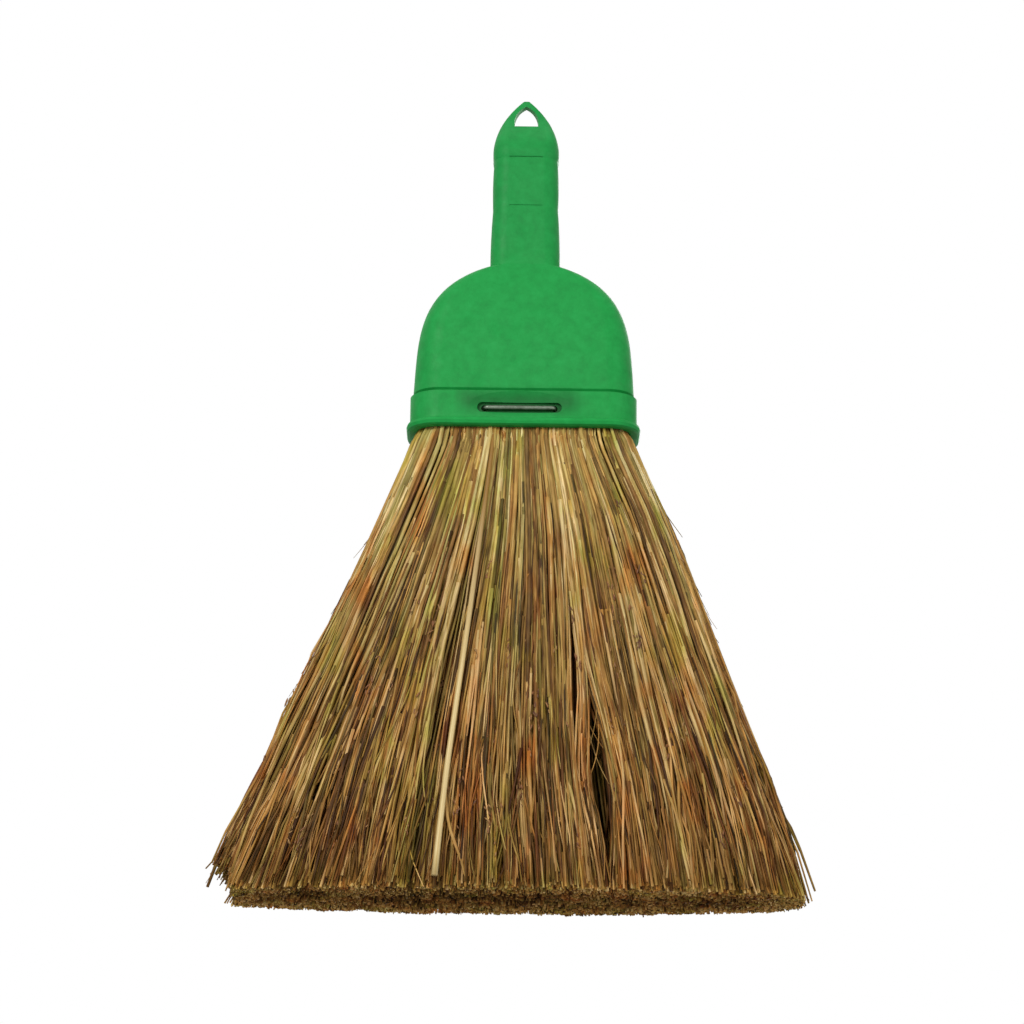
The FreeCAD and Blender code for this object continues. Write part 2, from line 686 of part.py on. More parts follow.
def build_shoulder_bunch(side, name):
    body = new_body(name)
    sections = []
    for level in fan_levels:
        sketch = new_sketch(body, f"{name}_{level.name}", "XY_Plane", level.height)
        draw_shoulder(sketch, side, level)
        sections.append(sketch)
    loft(body, f"{name}_loft", sections, ruled=True)


reed_radius = "(sizes.reed_diameter / 2)"
reed_skirt_offset = f"(sizes.skirt_lean + {skirt_straight} * sizes.reed_skirt_share)"
reed_offsets = {"tip": "sizes.reed_tip_offset", "skirt": reed_skirt_offset}


def reed_sections(body, radius):
    sections = []
    for level in fan_levels[:-1]:
        offset = reed_offsets.get(level.name, "sizes.reed_mouth_offset")
        deep = fan_depth(level, f"({offset} / ({level.straight} + {level.deep}))")
        sketch = new_sketch(body, f"{body.Name}_reed_{level.name}", "XY_Plane", level.height)
        draw_circle(sketch, f"(-1 * {offset})", f"(-1 * ({deep} - {reed_radius}))", radius)
        sections.append(sketch)
    return sections


def build_reed(carrier):
    # The thick pale straw lies in a groove along the front of the bunch that carries it
    groove = reed_sections(carrier, f"({reed_radius} + sizes.reed_clearance)")
    loft(carrier, "reed_groove", groove, ruled=True, kind="Subtractive")
    body = new_body("pale_reed")
    loft(body, "reed", reed_sections(body, reed_radius), ruled=True)


def build_staple():
    # Crown across the front, two legs through the cap, ends clinched towards each other behind
    body = new_body("staple")
    bend = "sizes.staple_bend"
    inset = f"({leg_offset} - {bend})"
    front_center = f"(-1 * ({crown_depth} - {bend}))"
    back_center = f"({clinch_depth} - {bend})"
    end_offset = f"({leg_offset} - sizes.clinch_length)"
    right_stop = f"({staple_middle} + {end_offset})"
    left_stop = f"({staple_middle} - {end_offset})"
    spine = new_sketch(body, "staple_spine", "XY_Plane", staple_level)
    corners = (
        (f"({staple_middle} + {inset})", back_center, 90, 0),
        (f"({staple_middle} + {inset})", front_center, 0, -90),
        (f"({staple_middle} - {inset})", front_center, -90, -180),
        (f"({staple_middle} - {inset})", back_center, 180, 90),
    )
    radius = number(bend)
    arcs = []
    for across, along, start, end in corners:
        arcs.append(spine.addGeometry(arc_about(flat(across, along), radius, end, start)))
    curves = [spine.Geometry[arc] for arc in arcs]
    stops = [flat(right_stop, clinch_depth)]
    for curve in curves:
        stops += [curve.EndPoint, curve.StartPoint]
    stops.append(flat(left_stop, clinch_depth))
    lines = []
    for start, end in zip(stops[0::2], stops[1::2]):
        lines.append(spine.addGeometry(Part.LineSegment(start, end)))
    for arc, before, after in zip(arcs, lines, lines[1:]):
        spine.addConstraint(Sketcher.Constraint("Tangent", before, 2, arc, 2))
        spine.addConstraint(Sketcher.Constraint("Tangent", arc, 1, after, 1))
    for arc, (across, along, _, _) in zip(arcs, corners):
        place(spine, arc, 3, across, along)
        bind(spine, "Radius", arc, bend)
    for line in (lines[0], lines[-1]):
        spine.addConstraint(Sketcher.Constraint("Horizontal", line))
    bind(spine, "DistanceX", -1, 1, lines[0], 1, right_stop)
    bind(spine, "DistanceX", -1, 1, lines[-1], 2, left_stop)
    profile = new_sketch(body, "staple_profile", "YZ_Plane", right_stop)
    draw_circle(profile, clinch_depth, staple_level, "sizes.staple_wire / 2")
    document.recompute()
    pipe = body.newObject("PartDesign::AdditivePipe", "staple_wire")
    pipe.Profile = profile
    pipe.Spine = (spine, [f"Edge{index + 1}" for index in range(len(spine.Shape.Edges))])
    document.recompute()


def build_binding_wire():
    # Each turn runs flat along the front and back and climbs half a pitch round each end
    wire_radius = number("sizes.binding_wire / 2")
    reach = number(f"{throat_deep} + sizes.binding_clearance") + wire_radius
    straight = number(mouth_straight)
    pitch = number("sizes.binding_pitch")
    turns = int(number("sizes.binding_turns"))
    base = number(f"{throat} + sizes.binding_wire")
    runs = []
    here = FreeCAD.Vector(0, -reach, base)
    for half_turn in range(2 * turns):
        side = 1 if half_turn % 2 == 0 else -1
        corner = FreeCAD.Vector(side * straight, here.y, here.z)
        landing = FreeCAD.Vector(corner.x, -here.y, here.z + pitch / 2)
        center = (corner + landing) / 2
        crest = center + FreeCAD.Vector(side * (landing - corner).Length / 2, 0, 0)
        runs.append(Part.LineSegment(here, corner).toShape())
        runs.append(Part.Arc(corner, crest, landing).toShape())
        here = landing
    tail = FreeCAD.Vector(0, here.y, here.z)
    runs.append(Part.LineSegment(here, tail).toShape())
    path = Part.Wire(runs)
    start = path.Vertexes[0].Point
    circle = Part.Circle(start, FreeCAD.Vector(1, 0, 0), wire_radius)
    tube = path.makePipeShell([Part.Wire(circle.toShape())], True, False)
    piece = document.addObject("Part::Feature", "binding_wire")
    piece.Label = "binding_wire"
    piece.Shape = tube
    piece.Placement = FreeCAD.Placement()
    pieces.append(piece)
    print_least_gap(path, turns, 2 * wire_radius)


def print_least_gap(path, turns, diameter):
    points = path.discretize(Number=turns * gap_points_per_turn)
    half_turn = len(points) // (2 * turns)
    least = min(
        (first - second).Length
        for index, first in enumerate(points)
        for second in points[index + half_turn:]
    )
    print(f"binding wire: least gap to itself {least - diameter:.2f} mm over {turns} turns")


build_cap_handle()
build_staple()
build_binding_wire()
bunches = {}
for layer in layers:
    for column in range(columns):
        bunches[layer, column] = build_bunch(layer, column)
build_shoulder_bunch(-1, "left_shoulder_bunch")
build_shoulder_bunch(1, "right_shoulder_bunch")
build_reed(bunches["front", reed_column])
document.recompute()

failed = [item.Name for item in document.Objects if {"Invalid", "Error"} & set(item.State)]
broken = [piece.Label for piece in pieces if piece.Shape.isNull() or not piece.Shape.isValid()]
if failed or broken:
    raise RuntimeError(f"failed features {failed}, broken pieces {broken}")

os.makedirs("parts", exist_ok=True)
for piece in pieces:
    piece.Shape.exportStep(f"parts/{piece.Label}.step")
    box = piece.Shape.BoundBox
    print(f"{piece.Label}: {piece.Shape.Volume:.0f} mm3, {len(piece.Shape.Solids)} solids,"
          f" {box.XLength:.1f} x {box.YLength:.1f} x {box.ZLength:.1f} mm, top {box.ZMax:.1f}")
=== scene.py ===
import bpy
import bmesh
import json
import math
import numpy as np
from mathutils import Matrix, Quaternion, Vector


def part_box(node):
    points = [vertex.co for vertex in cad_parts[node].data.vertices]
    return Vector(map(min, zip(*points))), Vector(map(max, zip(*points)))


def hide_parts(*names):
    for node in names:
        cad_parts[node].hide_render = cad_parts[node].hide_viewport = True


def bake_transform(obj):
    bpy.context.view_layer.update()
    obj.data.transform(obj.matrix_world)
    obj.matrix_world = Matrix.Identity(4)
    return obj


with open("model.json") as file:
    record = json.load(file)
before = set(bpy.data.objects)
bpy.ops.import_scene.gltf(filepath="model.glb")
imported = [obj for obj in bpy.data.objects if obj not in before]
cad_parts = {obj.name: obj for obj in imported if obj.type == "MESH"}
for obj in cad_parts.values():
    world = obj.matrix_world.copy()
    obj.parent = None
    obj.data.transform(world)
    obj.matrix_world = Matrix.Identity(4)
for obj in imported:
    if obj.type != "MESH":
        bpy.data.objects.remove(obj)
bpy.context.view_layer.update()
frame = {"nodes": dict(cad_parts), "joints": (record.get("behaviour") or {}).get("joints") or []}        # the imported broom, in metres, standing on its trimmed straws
nodes = frame["nodes"]
scene = bpy.context.scene
scene.view_settings.view_transform = "Standard"
rim = frame["joints"][0]["pos_m"][2]      # the cap's lower edge, where the straws come out
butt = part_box("core_bunch_1")[1].z      # top of the straws, inside the cap
print("frame:", len(nodes), "nodes, rim at", round(rim, 4))


# small helpers for node trees
def newMaterial(name):
    material = bpy.data.materials.new(name)
    material.use_nodes = True
    tree = material.node_tree
    return material, tree, tree.nodes["Principled BSDF"]


def addNode(tree, kind, **values):
    node = tree.nodes.new(kind)
    for name, value in values.items():
        if hasattr(node, name):
            setattr(node, name, value)
        else:
            node.inputs[name.replace("_", " ")].default_value = value
    return node


def readAttribute(tree, name, output="Fac"):
    return addNode(tree, "ShaderNodeAttribute", attribute_name=name).outputs[output]


def objectPlace(tree):
    return addNode(tree, "ShaderNodeTexCoord").outputs["Object"]


def joinValues(tree, operation, *values):
    joined = values[0]
    for value in values[1:]:
        node = addNode(tree, "ShaderNodeMath", operation=operation)
        tree.links.new(joined, node.inputs[0])
        tree.links.new(value, node.inputs[1])
        joined = node.outputs[0]
    return joined


def addRamp(tree, source, stops):
    ramp = addNode(tree, "ShaderNodeValToRGB")
    elements = ramp.color_ramp.elements
    while len(elements) < len(stops):
        elements.new(1.0)
    for element, (place, color) in zip(elements, stops):
        element.position = place
        element.color = (*color, 1.0)
    tree.links.new(source, ramp.inputs["Fac"])
    return ramp.outputs["Color"]


def addRange(tree, source, low, high, fromLow=0.0, fromHigh=1.0):
    ends = {"From_Min": fromLow, "From_Max": fromHigh, "To_Min": low, "To_Max": high}
    node = addNode(tree, "ShaderNodeMapRange", **ends)
    tree.links.new(source, node.inputs["Value"])
    return node.outputs["Result"]


def tinted(tree, color, source, stops):      # the color times a ramp of the source
    node = addNode(tree, "ShaderNodeMix", data_type="RGBA", blend_type="MULTIPLY")
    node.inputs["Factor"].default_value = 1.0
    tree.links.new(color, node.inputs[6])
    tree.links.new(addRamp(tree, source, stops), node.inputs[7])
    return node.outputs[2]


def addNoise(tree, vector, scale, detail=2.0, roughness=0.5):
    node = addNode(tree, "ShaderNodeTexNoise", Scale=scale, Detail=detail, Roughness=roughness)
    tree.links.new(vector, node.inputs["Vector"])
    return node.outputs["Fac"]


def stretched(tree, vector, scale):
    node = addNode(tree, "ShaderNodeMapping", Scale=scale)
    tree.links.new(vector, node.inputs["Vector"])
    return node.outputs["Vector"]


def coat(tree, shader, color, roughness):
    tree.links.new(color, shader.inputs["Base Color"])
    tree.links.new(roughness, shader.inputs["Roughness"])


def addBump(tree, height, shader, strength, distance):
    node = addNode(tree, "ShaderNodeBump", Strength=strength, Distance=distance)
    tree.links.new(height, node.inputs["Height"])
    tree.links.new(node.outputs["Normal"], shader.inputs["Normal"])


# camera, square to the front and looking up from below the trimmed end
view = {
    "aim": (-0.0040, 0.0, 0.1505),
    "distance": 1.3,
    "elevation": -17.5,      # degrees
    "roll": 0.65,
    "lens": 119.6,
}


def makeCamera():
    tilt = math.radians(view["elevation"])
    back = Vector((0, -math.cos(tilt), math.sin(tilt)))
    data = bpy.data.cameras.new("camera")
    data.lens = view["lens"]
    camera = bpy.data.objects.new("camera", data)
    camera.location = Vector(view["aim"]) + back * view["distance"]
    roll = Quaternion((0, 0, 1), math.radians(view["roll"]))
    camera.rotation_euler = ((-back).to_track_quat("-Z", "Y") @ roll).to_euler()
    scene.collection.objects.link(camera)
    scene.camera = camera


# soft lamps: name, place, size and power
lamps = {
    "keyLamp": ((-0.7, -1.5, 0.72), 0.7, 17.2),
    "fillLamp": ((1.1, -1.2, 0.3), 1.0, 6.5),
    "topLamp": ((0.0, 0.1, 1.5), 0.9, 1.8),
    "rearLamp": ((0.3, 1.5, 0.8), 1.0, 14.0),
}
sky = {"light": 0.30, "backdrop": 1.0}


def makeLight():
    for name, (place, size, power) in lamps.items():
        data = bpy.data.lights.new(name, "AREA")
        data.size = size
        data.energy = power
        lamp = bpy.data.objects.new(name, data)
        lamp.location = place
        toBroom = Vector((0, 0, rim)) - Vector(place)
        lamp.rotation_euler = toBroom.to_track_quat("-Z", "Y").to_euler()
        scene.collection.objects.link(lamp)
    world = bpy.data.worlds.new("studio")
    world.use_nodes = True
    scene.world = world
    tree = world.node_tree
    backdrop = tree.nodes["Background"]
    backdrop.inputs["Color"].default_value = (1, 1, 1, 1)
    path = addNode(tree, "ShaderNodeLightPath").outputs
    rays = (path["Is Camera Ray"], path["Is Glossy Ray"], path["Is Transmission Ray"])
    seen = joinValues(tree, "MAXIMUM", *rays)
    strength = addRange(tree, seen, sky["light"], sky["backdrop"])
    tree.links.new(strength, backdrop.inputs["Strength"])


# pale floor with a soft edge, open to a look from underneath
ground = {"radius": 0.75, "fade": (0.3, 0.7275), "color": (0.86, 0.86, 0.86), "roughness": 0.9}


def makeFloor():
    bm = bmesh.new()
    bmesh.ops.create_circle(bm, cap_ends=True, segments=96, radius=ground["radius"])
    mesh = bpy.data.meshes.new("floor")
    bm.to_mesh(mesh)
    bm.free()
    floor = bpy.data.objects.new("floor", mesh)
    scene.collection.objects.link(floor)
    material, tree, shader = newMaterial("paleFloor")
    shader.inputs["Base Color"].default_value = (*ground["color"], 1)
    shader.inputs["Roughness"].default_value = ground["roughness"]
    length = addNode(tree, "ShaderNodeVectorMath", operation="LENGTH")
    tree.links.new(objectPlace(tree), length.inputs[0])
    fade = addRange(tree, length.outputs["Value"], 0, 1, *ground["fade"])
    under = addNode(tree, "ShaderNodeNewGeometry").outputs["Backfacing"]
    path = addNode(tree, "ShaderNodeLightPath").outputs
    unseen = (under, path["Is Diffuse Ray"], path["Is Shadow Ray"])      # so light reaches the straw ends
    openness = joinValues(tree, "MAXIMUM", fade, *unseen)
    clear = addNode(tree, "ShaderNodeBsdfTransparent")
    mix = addNode(tree, "ShaderNodeMixShader")
    tree.links.new(openness, mix.inputs["Fac"])
    tree.links.new(shader.outputs[0], mix.inputs[1])
    tree.links.new(clear.outputs[0], mix.inputs[2])
    tree.links.new(mix.outputs[0], tree.nodes["Material Output"].inputs["Surface"])
    mesh.materials.append(material)


makeCamera()
makeLight()
makeFloor()
print("camera, lamps and floor are set")


# finishes, with pairs of place and color for each ramp
white = (1, 1, 1)
noiseSpan = (0.3, 0.7)      # most of a noise lies within it
plastic = {
    "greens": (
        (0.30, (0.006, 0.270, 0.046)),
        (0.50, (0.008, 0.318, 0.055)),
        (0.70, (0.012, 0.360, 0.068)),
    ),
    "mottleScale": 210.0,
    "rubbedScale": 160.0,
    "roughness": (0.46, 0.64),
    "specular": 0.22,
    "grainScale": 1700.0,
    "grainBump": (0.4, 0.00008),      # strength and depth
    "slotMiddle": (-0.0016, 0.1872),      # the staple's slot, painted darker: painted shade in the recess
    "slotHalf": (0.0163, 0.0023),
    "slotSoft": 0.0004,
    "slotFloor": 0.0151,
    "slotFloorSoft": 0.0003,
    "frontLevels": (-0.010, -0.006),      # the dish's painted shade lies only on the front of the band
    "dishMiddle": (-0.0016, 0.1897),      # upper half of the dish round it, painted darker: painted shade
    "dishHalf": (0.0225, 0.0040),
    "dishSoft": 0.0030,
    "dishShade": 0.68,
    "lineMiddle": 0.1945,      # the groove over the band, painted darker: painted shade in the groove
    "lineHalf": 0.0007,
    "lineSoft": 0.0004,
    "lineShade": 0.2,
    # painted shade: how dark the slot, the dish and the groove are painted
    "shadeTint": ((0.0, white), (1.0, (0.26, 0.31, 0.27))),
    "gripShade": ((0.0, white), (1.0, (0.94, 0.91, 0.95))),      # painted shade: the grip a little darker from the neck up
    "neckLevels": (0.243, 0.262),
}


def near(tree, value, middle, half, soft):
    # 1 within half of the middle, falling to 0 over soft
    apart = addNode(tree, "ShaderNodeMath", operation="SUBTRACT")
    tree.links.new(value, apart.inputs[0])
    apart.inputs[1].default_value = middle
    size = addNode(tree, "ShaderNodeMath", operation="ABSOLUTE")
    tree.links.new(apart.outputs[0], size.inputs[0])
    return addRange(tree, size.outputs[0], 1, 0, half - soft, half + soft)


def greenPlastic():
    material, tree, shader = newMaterial("greenPlastic")
    place = objectPlace(tree)
    mottle = addNoise(tree, place, plastic["mottleScale"], 6.0, 0.7)
    color = addRamp(tree, mottle, plastic["greens"])
    axes = addNode(tree, "ShaderNodeSeparateXYZ")
    tree.links.new(place, axes.inputs[0])
    x, y, z = (axes.outputs[axis] for axis in "XYZ")

    def inBox(name):
        middle, half, soft = (plastic[name + part] for part in ("Middle", "Half", "Soft"))
        return [near(tree, x, middle[0], half[0], soft), near(tree, z, middle[1], half[1], soft)]

    # painted shade in the staple's slot, the upper half of the dish and the groove over the band
    slotFloor = near(tree, y, 0.0, plastic["slotFloor"], plastic["slotFloorSoft"])
    inSlot = joinValues(tree, "MULTIPLY", slotFloor, *inBox("slot"))
    front = addRange(tree, y, plastic["dishShade"], 0, *plastic["frontLevels"])
    inDish = joinValues(tree, "MULTIPLY", front, *inBox("dish"))
    line = (plastic["line" + part] for part in ("Middle", "Half", "Soft"))
    inLine = addRange(tree, near(tree, z, *line), 0, plastic["lineShade"])
    paintedShadeMask = joinValues(tree, "MAXIMUM", inSlot, inDish, inLine)
    color = tinted(tree, color, paintedShadeMask, plastic["shadeTint"])
    # painted shade: the grip is painted darker from the neck up
    onGrip = addRange(tree, z, 0, 1, *plastic["neckLevels"])
    color = tinted(tree, color, onGrip, plastic["gripShade"])
    rubbed = addNoise(tree, place, plastic["rubbedScale"], 4.0, 0.65)
    coat(tree, shader, color, addRange(tree, rubbed, *plastic["roughness"], *noiseSpan))
    grain = addNoise(tree, place, plastic["grainScale"], 3.0)
    addBump(tree, grain, shader, *plastic["grainBump"])
    shader.inputs["Specular IOR Level"].default_value = plastic["specular"]
    return material


steel = {
    # both tinted green, a painted reflection of the green cap round the wires
    "dull": (0.065, 0.085, 0.058),
    "bright": (0.16, 0.20, 0.15),
    "tarnishScale": 420.0,
    "drawnScale": 300.0,
    "drawn": (1.0, 8.0, 8.0),      # fine lines along the wire
    "roughness": (0.30, 0.52),
    "bump": (0.2, 0.00004),
}


def wireSteel(name, worn):
    material, tree, shader = newMaterial(name)
    place = objectPlace(tree)
    tarnish = addNoise(tree, place, steel["tarnishScale"], 4.0, 0.6)
    color = addRamp(tree, tarnish, ((worn - 0.2, steel["dull"]), (worn + 0.15, steel["bright"])))
    drawn = addNoise(tree, stretched(tree, place, steel["drawn"]), steel["drawnScale"], 3.0)
    coat(tree, shader, color, addRange(tree, drawn, *steel["roughness"], *noiseSpan))
    addBump(tree, drawn, shader, *steel["bump"])
    shader.inputs["Metallic"].default_value = 1.0
    return material


strawFinish = {
    "warm": (
        (0.00, (0.080, 0.034, 0.010)),      # weathered brown
        (0.22, (0.250, 0.118, 0.033)),
        (0.48, (0.515, 0.282, 0.080)),      # tan
        (0.75, (0.760, 0.490, 0.140)),      # gold
        (1.00, (0.940, 0.750, 0.390)),      # pale
    ),
    "green": (
        (0.00, (0.065, 0.050, 0.016)),
        (0.30, (0.220, 0.176, 0.048)),
        (0.60, (0.470, 0.400, 0.115)),      # dull green straw
        (1.00, (0.840, 0.740, 0.360)),
    ),
    "alongTint": (      # from the cap to the cut ends: browner straw and painted shade lower down, and painted light on the cut ends
        (0.10, white),
        (0.48, (0.83, 0.71, 0.63)),
        (0.80, (0.875, 0.70, 0.58)),
        (0.985, (0.875, 0.70, 0.58)),
        # painted light on the cut ends
        (1.00, (1.45, 1.24, 1.02)),
    ),
    "patches": (      # olive to russet
        (0.34, (0.84, 0.98, 0.58)),
        (0.46, white),
        (0.55, white),
        (0.68, (1.00, 0.67, 0.45)),
    ),
    # painted shade on straws that lie deeper in the fan
    "depthShade": ((0.03, white), (0.12, (0.64, 0.56, 0.47)), (0.26, (0.40, 0.32, 0.24))),
    "endShadeFade": (1.0, 0.12, 0.95, 1.0),      # the painted shade fades out on the cut ends
    "streaks": ((0.30, (0.54, 0.48, 0.41)), (0.62, (1.14, 1.12, 1.08))),
    "streakScale": (1500.0, 1500.0, 60.0),
    "blotchScale": (250.0, 250.0, 90.0),
    "blotch": (-0.22, 0.22, 0.25, 0.75),
    "patchScale": 75.0,
    "patchStretch": (1.0, 1.0, 0.4),
    "roughness": (0.68, 0.46),
    "specular": 0.2,
    "bump": (0.3, 0.00006),
}


def broomStraw():
    material, tree, shader = newMaterial("broomStraw")
    grain = readAttribute(tree, "grain", "Vector")
    streak = addNoise(tree, stretched(tree, grain, strawFinish["streakScale"]), 1.0, 4.0, 0.6)
    blotch = addNoise(tree, stretched(tree, grain, strawFinish["blotchScale"]), 1.0, 3.0, 0.6)
    blotch = addRange(tree, blotch, *strawFinish["blotch"])
    tone = joinValues(tree, "ADD", blotch, readAttribute(tree, "strawTone"))
    hues = addNode(tree, "ShaderNodeMix", data_type="RGBA")
    tree.links.new(readAttribute(tree, "strawHue"), hues.inputs["Factor"])
    tree.links.new(addRamp(tree, tone, strawFinish["warm"]), hues.inputs[6])
    tree.links.new(addRamp(tree, tone, strawFinish["green"]), hues.inputs[7])
    along = readAttribute(tree, "along")
    # browner and darker down the straw, partly its own colour and partly painted shade, with painted light
    # on the cut ends
    color = tinted(tree, hues.outputs[2], along, strawFinish["alongTint"])
    place = stretched(tree, objectPlace(tree), strawFinish["patchStretch"])
    patch = addNoise(tree, place, strawFinish["patchScale"], 3.0, 0.6)
    color = tinted(tree, color, patch, strawFinish["patches"])
    endShadeFade = addRange(tree, along, *strawFinish["endShadeFade"])
    # painted shade by how deep each straw lies in the fan
    depthShade = joinValues(tree, "MULTIPLY", readAttribute(tree, "depth"), endShadeFade)
    color = tinted(tree, color, depthShade, strawFinish["depthShade"])
    color = tinted(tree, color, streak, strawFinish["streaks"])
    coat(tree, shader, color, addRange(tree, streak, *strawFinish["roughness"], *noiseSpan))
    addBump(tree, streak, shader, *strawFinish["bump"])
    shader.inputs["Specular IOR Level"].default_value = strawFinish["specular"]
    return material


hullFinish = {
    "tones": ((0.1, (0.17, 0.068, 0.024)), (0.55, (0.33, 0.130, 0.042)), (0.95, (0.46, 0.26, 0.085))),
    "speckScale": 1800.0,
    "specks": ((0.35, (0.55, 0.5, 0.45)), (0.6, white)),
    "roughness": (0.45, 0.7),
}


def seedHull():
    material, tree, shader = newMaterial("seedHull")
    color = addRamp(tree, readAttribute(tree, "strawTone"), hullFinish["tones"])
    speck = addNoise(tree, objectPlace(tree), hullFinish["speckScale"])
    color = tinted(tree, color, speck, hullFinish["specks"])
    coat(tree, shader, color, addRange(tree, speck, *hullFinish["roughness"]))
    return material


reedFinish = {
    "streakScale": (1300.0, 1300.0, 25.0),
    "streaks": ((0.32, (0.64, 0.44, 0.16)), (0.58, (0.84, 0.65, 0.31))),
    # darker towards the cap end
    "alongTint": ((0.15, (0.40, 0.27, 0.09)), (0.48, white)),
    "roughness": (0.5, 0.36),
    "specular": 0.35,
    "bump": (0.25, 0.00008),
}


def paleStraw():
    material, tree, shader = newMaterial("paleStraw")
    grain = readAttribute(tree, "grain", "Vector")
    streak = addNoise(tree, stretched(tree, grain, reedFinish["streakScale"]), 1.0, 4.0, 0.6)
    color = addRamp(tree, streak, reedFinish["streaks"])
    color = tinted(tree, color, readAttribute(tree, "along"), reedFinish["alongTint"])
    coat(tree, shader, color, addRange(tree, streak, *reedFinish["roughness"]))
    addBump(tree, streak, shader, *reedFinish["bump"])
    shader.inputs["Specular IOR Level"].default_value = reedFinish["specular"]
    return material


greenFinish = greenPlastic()
stapleFinish = wireSteel("stapleSteel", 0.45)
bindingFinish = wireSteel("bindingSteel", 0.52)
strawMaterial = broomStraw()
hullMaterial = seedHull()
reedMaterial = paleStraw()
print("finishes are made")


def dress(node, material):
    nodes[node].data.materials.clear()
    nodes[node].data.materials.append(material)


dress("cap_handle", greenFinish)
dress("staple", stapleFinish)
dress("binding_wire", bindingFinish)


# the fan: half width and half depth that the straws' middles keep to, at each height
fan = {
    "levels": (
        0.0, 0.022, 0.045, 0.080, 0.113, 0.145,
        rim - 0.008, rim - 0.0035, rim - 0.0012, rim, rim + 0.020, butt,
    ),
    "halfWidth": (
        0.1052, 0.1009, 0.0952, 0.0814, 0.0685, 0.0557,
        0.0440, 0.0426, 0.0412, 0.0398, 0.0365, 0.0365,
    ),
    "deep": (
        0.0264, 0.0250, 0.0236, 0.0215, 0.0195, 0.0176,
        0.0162, 0.0157, 0.0143, 0.0129, 0.0096, 0.0096,
    ),
    "columnShares": (-1, -0.68, -0.28, 0.06, 0.435, 0.71, 1),
    "flare": 0.175,      # below this the fan leans, thins at its ends and gathers in bunches
    "leanLevels": (0.0, 0.045, 0.100, 0.140, 0.175),
    "lean": (0.0, -0.0022, -0.0008, 0.0008, 0.0),
    "lens": 0.34,
    "lensPower": 2.2,
    "bow": (0.0014, 0.0003),      # at the tips and at the cap
    "lump": 0.0045,      # uneven back edge of the trimmed end, by place across
    "lumpRise": 0.03,
    "lumpPlaces": (-0.104, -0.086, -0.070, -0.055, -0.032, -0.020, 0.004, 0.027, 0.042, 0.068, 0.106),
    "lumpShares": (0.0, 0.4, 0.6, 0.3, 1.0, 0.5, 0.5, 0.9, 0.5, 0.2, 0.0),
    "squareness": 2.8,
    "leftStretch": 0.118,      # below leftLevel the left half runs on straight, past its trimmed corner
    "leftLevel": 0.045,
    "corner": 0.1055,
    "cornerSlope": 3.4,
    "cornerRise": (0.0135, 0.0026),
}


def smoothStep(low, high, value):
    share = np.clip((value - low) / (high - low), 0, 1)
    return share * share * (3 - 2 * share)


def fanSize(height):
    half = np.interp(height, fan["levels"], fan["halfWidth"])
    deep = np.interp(height, fan["levels"], fan["deep"])
    lean = np.interp(height, fan["leanLevels"], fan["lean"])
    return half, deep, lean


def lengthShare(height):      # 0 at the cap, 1 at the tips
    return np.clip((rim - height) / rim, 0, 1)


def lensShare(across, low):      # the fan's ends are thinner than its middle
    return 1 - fan["lens"] * low * np.abs(across) ** fan["lensPower"]


def leftReach(x, height):
    grow = fan["leftStretch"] * np.clip(1 - height / fan["leftLevel"], 0, 1)
    return np.where(x < 0, x * (1 + grow), x)


def fanPlace(place, height):      # place is (middle, round end, depth), each within -1 to 1
    half, deep, lean = fanSize(height)
    low = np.clip(1 - height / fan["flare"], 0, 1)
    x = (half - deep) * place[..., 0] + deep * place[..., 1]
    lens = lensShare(x / half, low)
    shares = np.array(fan["columnShares"])
    column = np.clip(np.searchsorted(shares, place[..., 0]), 1, len(shares) - 1)
    left, right = shares[column - 1], shares[column]
    across = (2 * place[..., 0] - right - left) / (right - left)
    bow = fan["bow"][1] + (fan["bow"][0] - fan["bow"][1]) * low
    edge = np.minimum(across ** 2, 1) * (1 - np.minimum(np.abs(place[..., 1]) * 1.5, 1))
    uneven = np.interp(x, fan["lumpPlaces"], fan["lumpShares"])
    lump = fan["lump"] * uneven * np.clip(1 - height / fan["lumpRise"], 0, 1)
    y = (deep * lens - bow * edge) * place[..., 2] + lump * np.clip(place[..., 2], 0, 1)
    return np.stack([leftReach(x, height) + lean, y, height], -1)


# one straight tube or one seed, kept as a mesh that is copied for each straw
def tubeTemplate(name, sides, rings):
    bm = bmesh.new()
    layer = bm.loops.layers.uv.new("OFBake")
    bmesh.ops.create_cone(bm, cap_ends=True, segments=sides, radius1=1, radius2=1, depth=1)
    bmesh.ops.translate(bm, verts=bm.verts, vec=(0, 0, 0.5))
    upright = [edge for edge in bm.edges if abs(edge.verts[0].co.z - edge.verts[1].co.z) > 0.5]
    bmesh.ops.subdivide_edges(bm, edges=upright, cuts=rings - 2)
    for face in bm.faces:
        isCap = abs(face.normal.z) > 0.5
        face.smooth = not isCap
        middle = face.calc_center_median()
        turn = math.atan2(middle.y, middle.x) / math.tau % 1
        for loop in face.loops:
            co = loop.vert.co
            if isCap:      # the two cut ends lie at the ends of the strip
                loop[layer].uv = (0.5 + 0.4 * co.x, 0.03 + 0.025 * co.y + 0.94 * co.z)
            else:
                own = math.atan2(co.y, co.x) / math.tau % 1
                own += round(turn - own)
                loop[layer].uv = (own, 0.07 + 0.86 * co.z)
    return finishTemplate(bm, name, rings)


def seedTemplate(name):
    bm = bmesh.new()
    layer = bm.loops.layers.uv.new("OFBake")
    bmesh.ops.create_icosphere(bm, subdivisions=1, radius=1)
    for face in bm.faces:
        face.smooth = True
        for loop in face.loops:
            co = loop.vert.co
            half = 0.25 if face.normal.y > 0 else 0.75
            loop[layer].uv = (half + 0.22 * co.x, 0.5 + 0.46 * co.z)
    return finishTemplate(bm, name, 0)


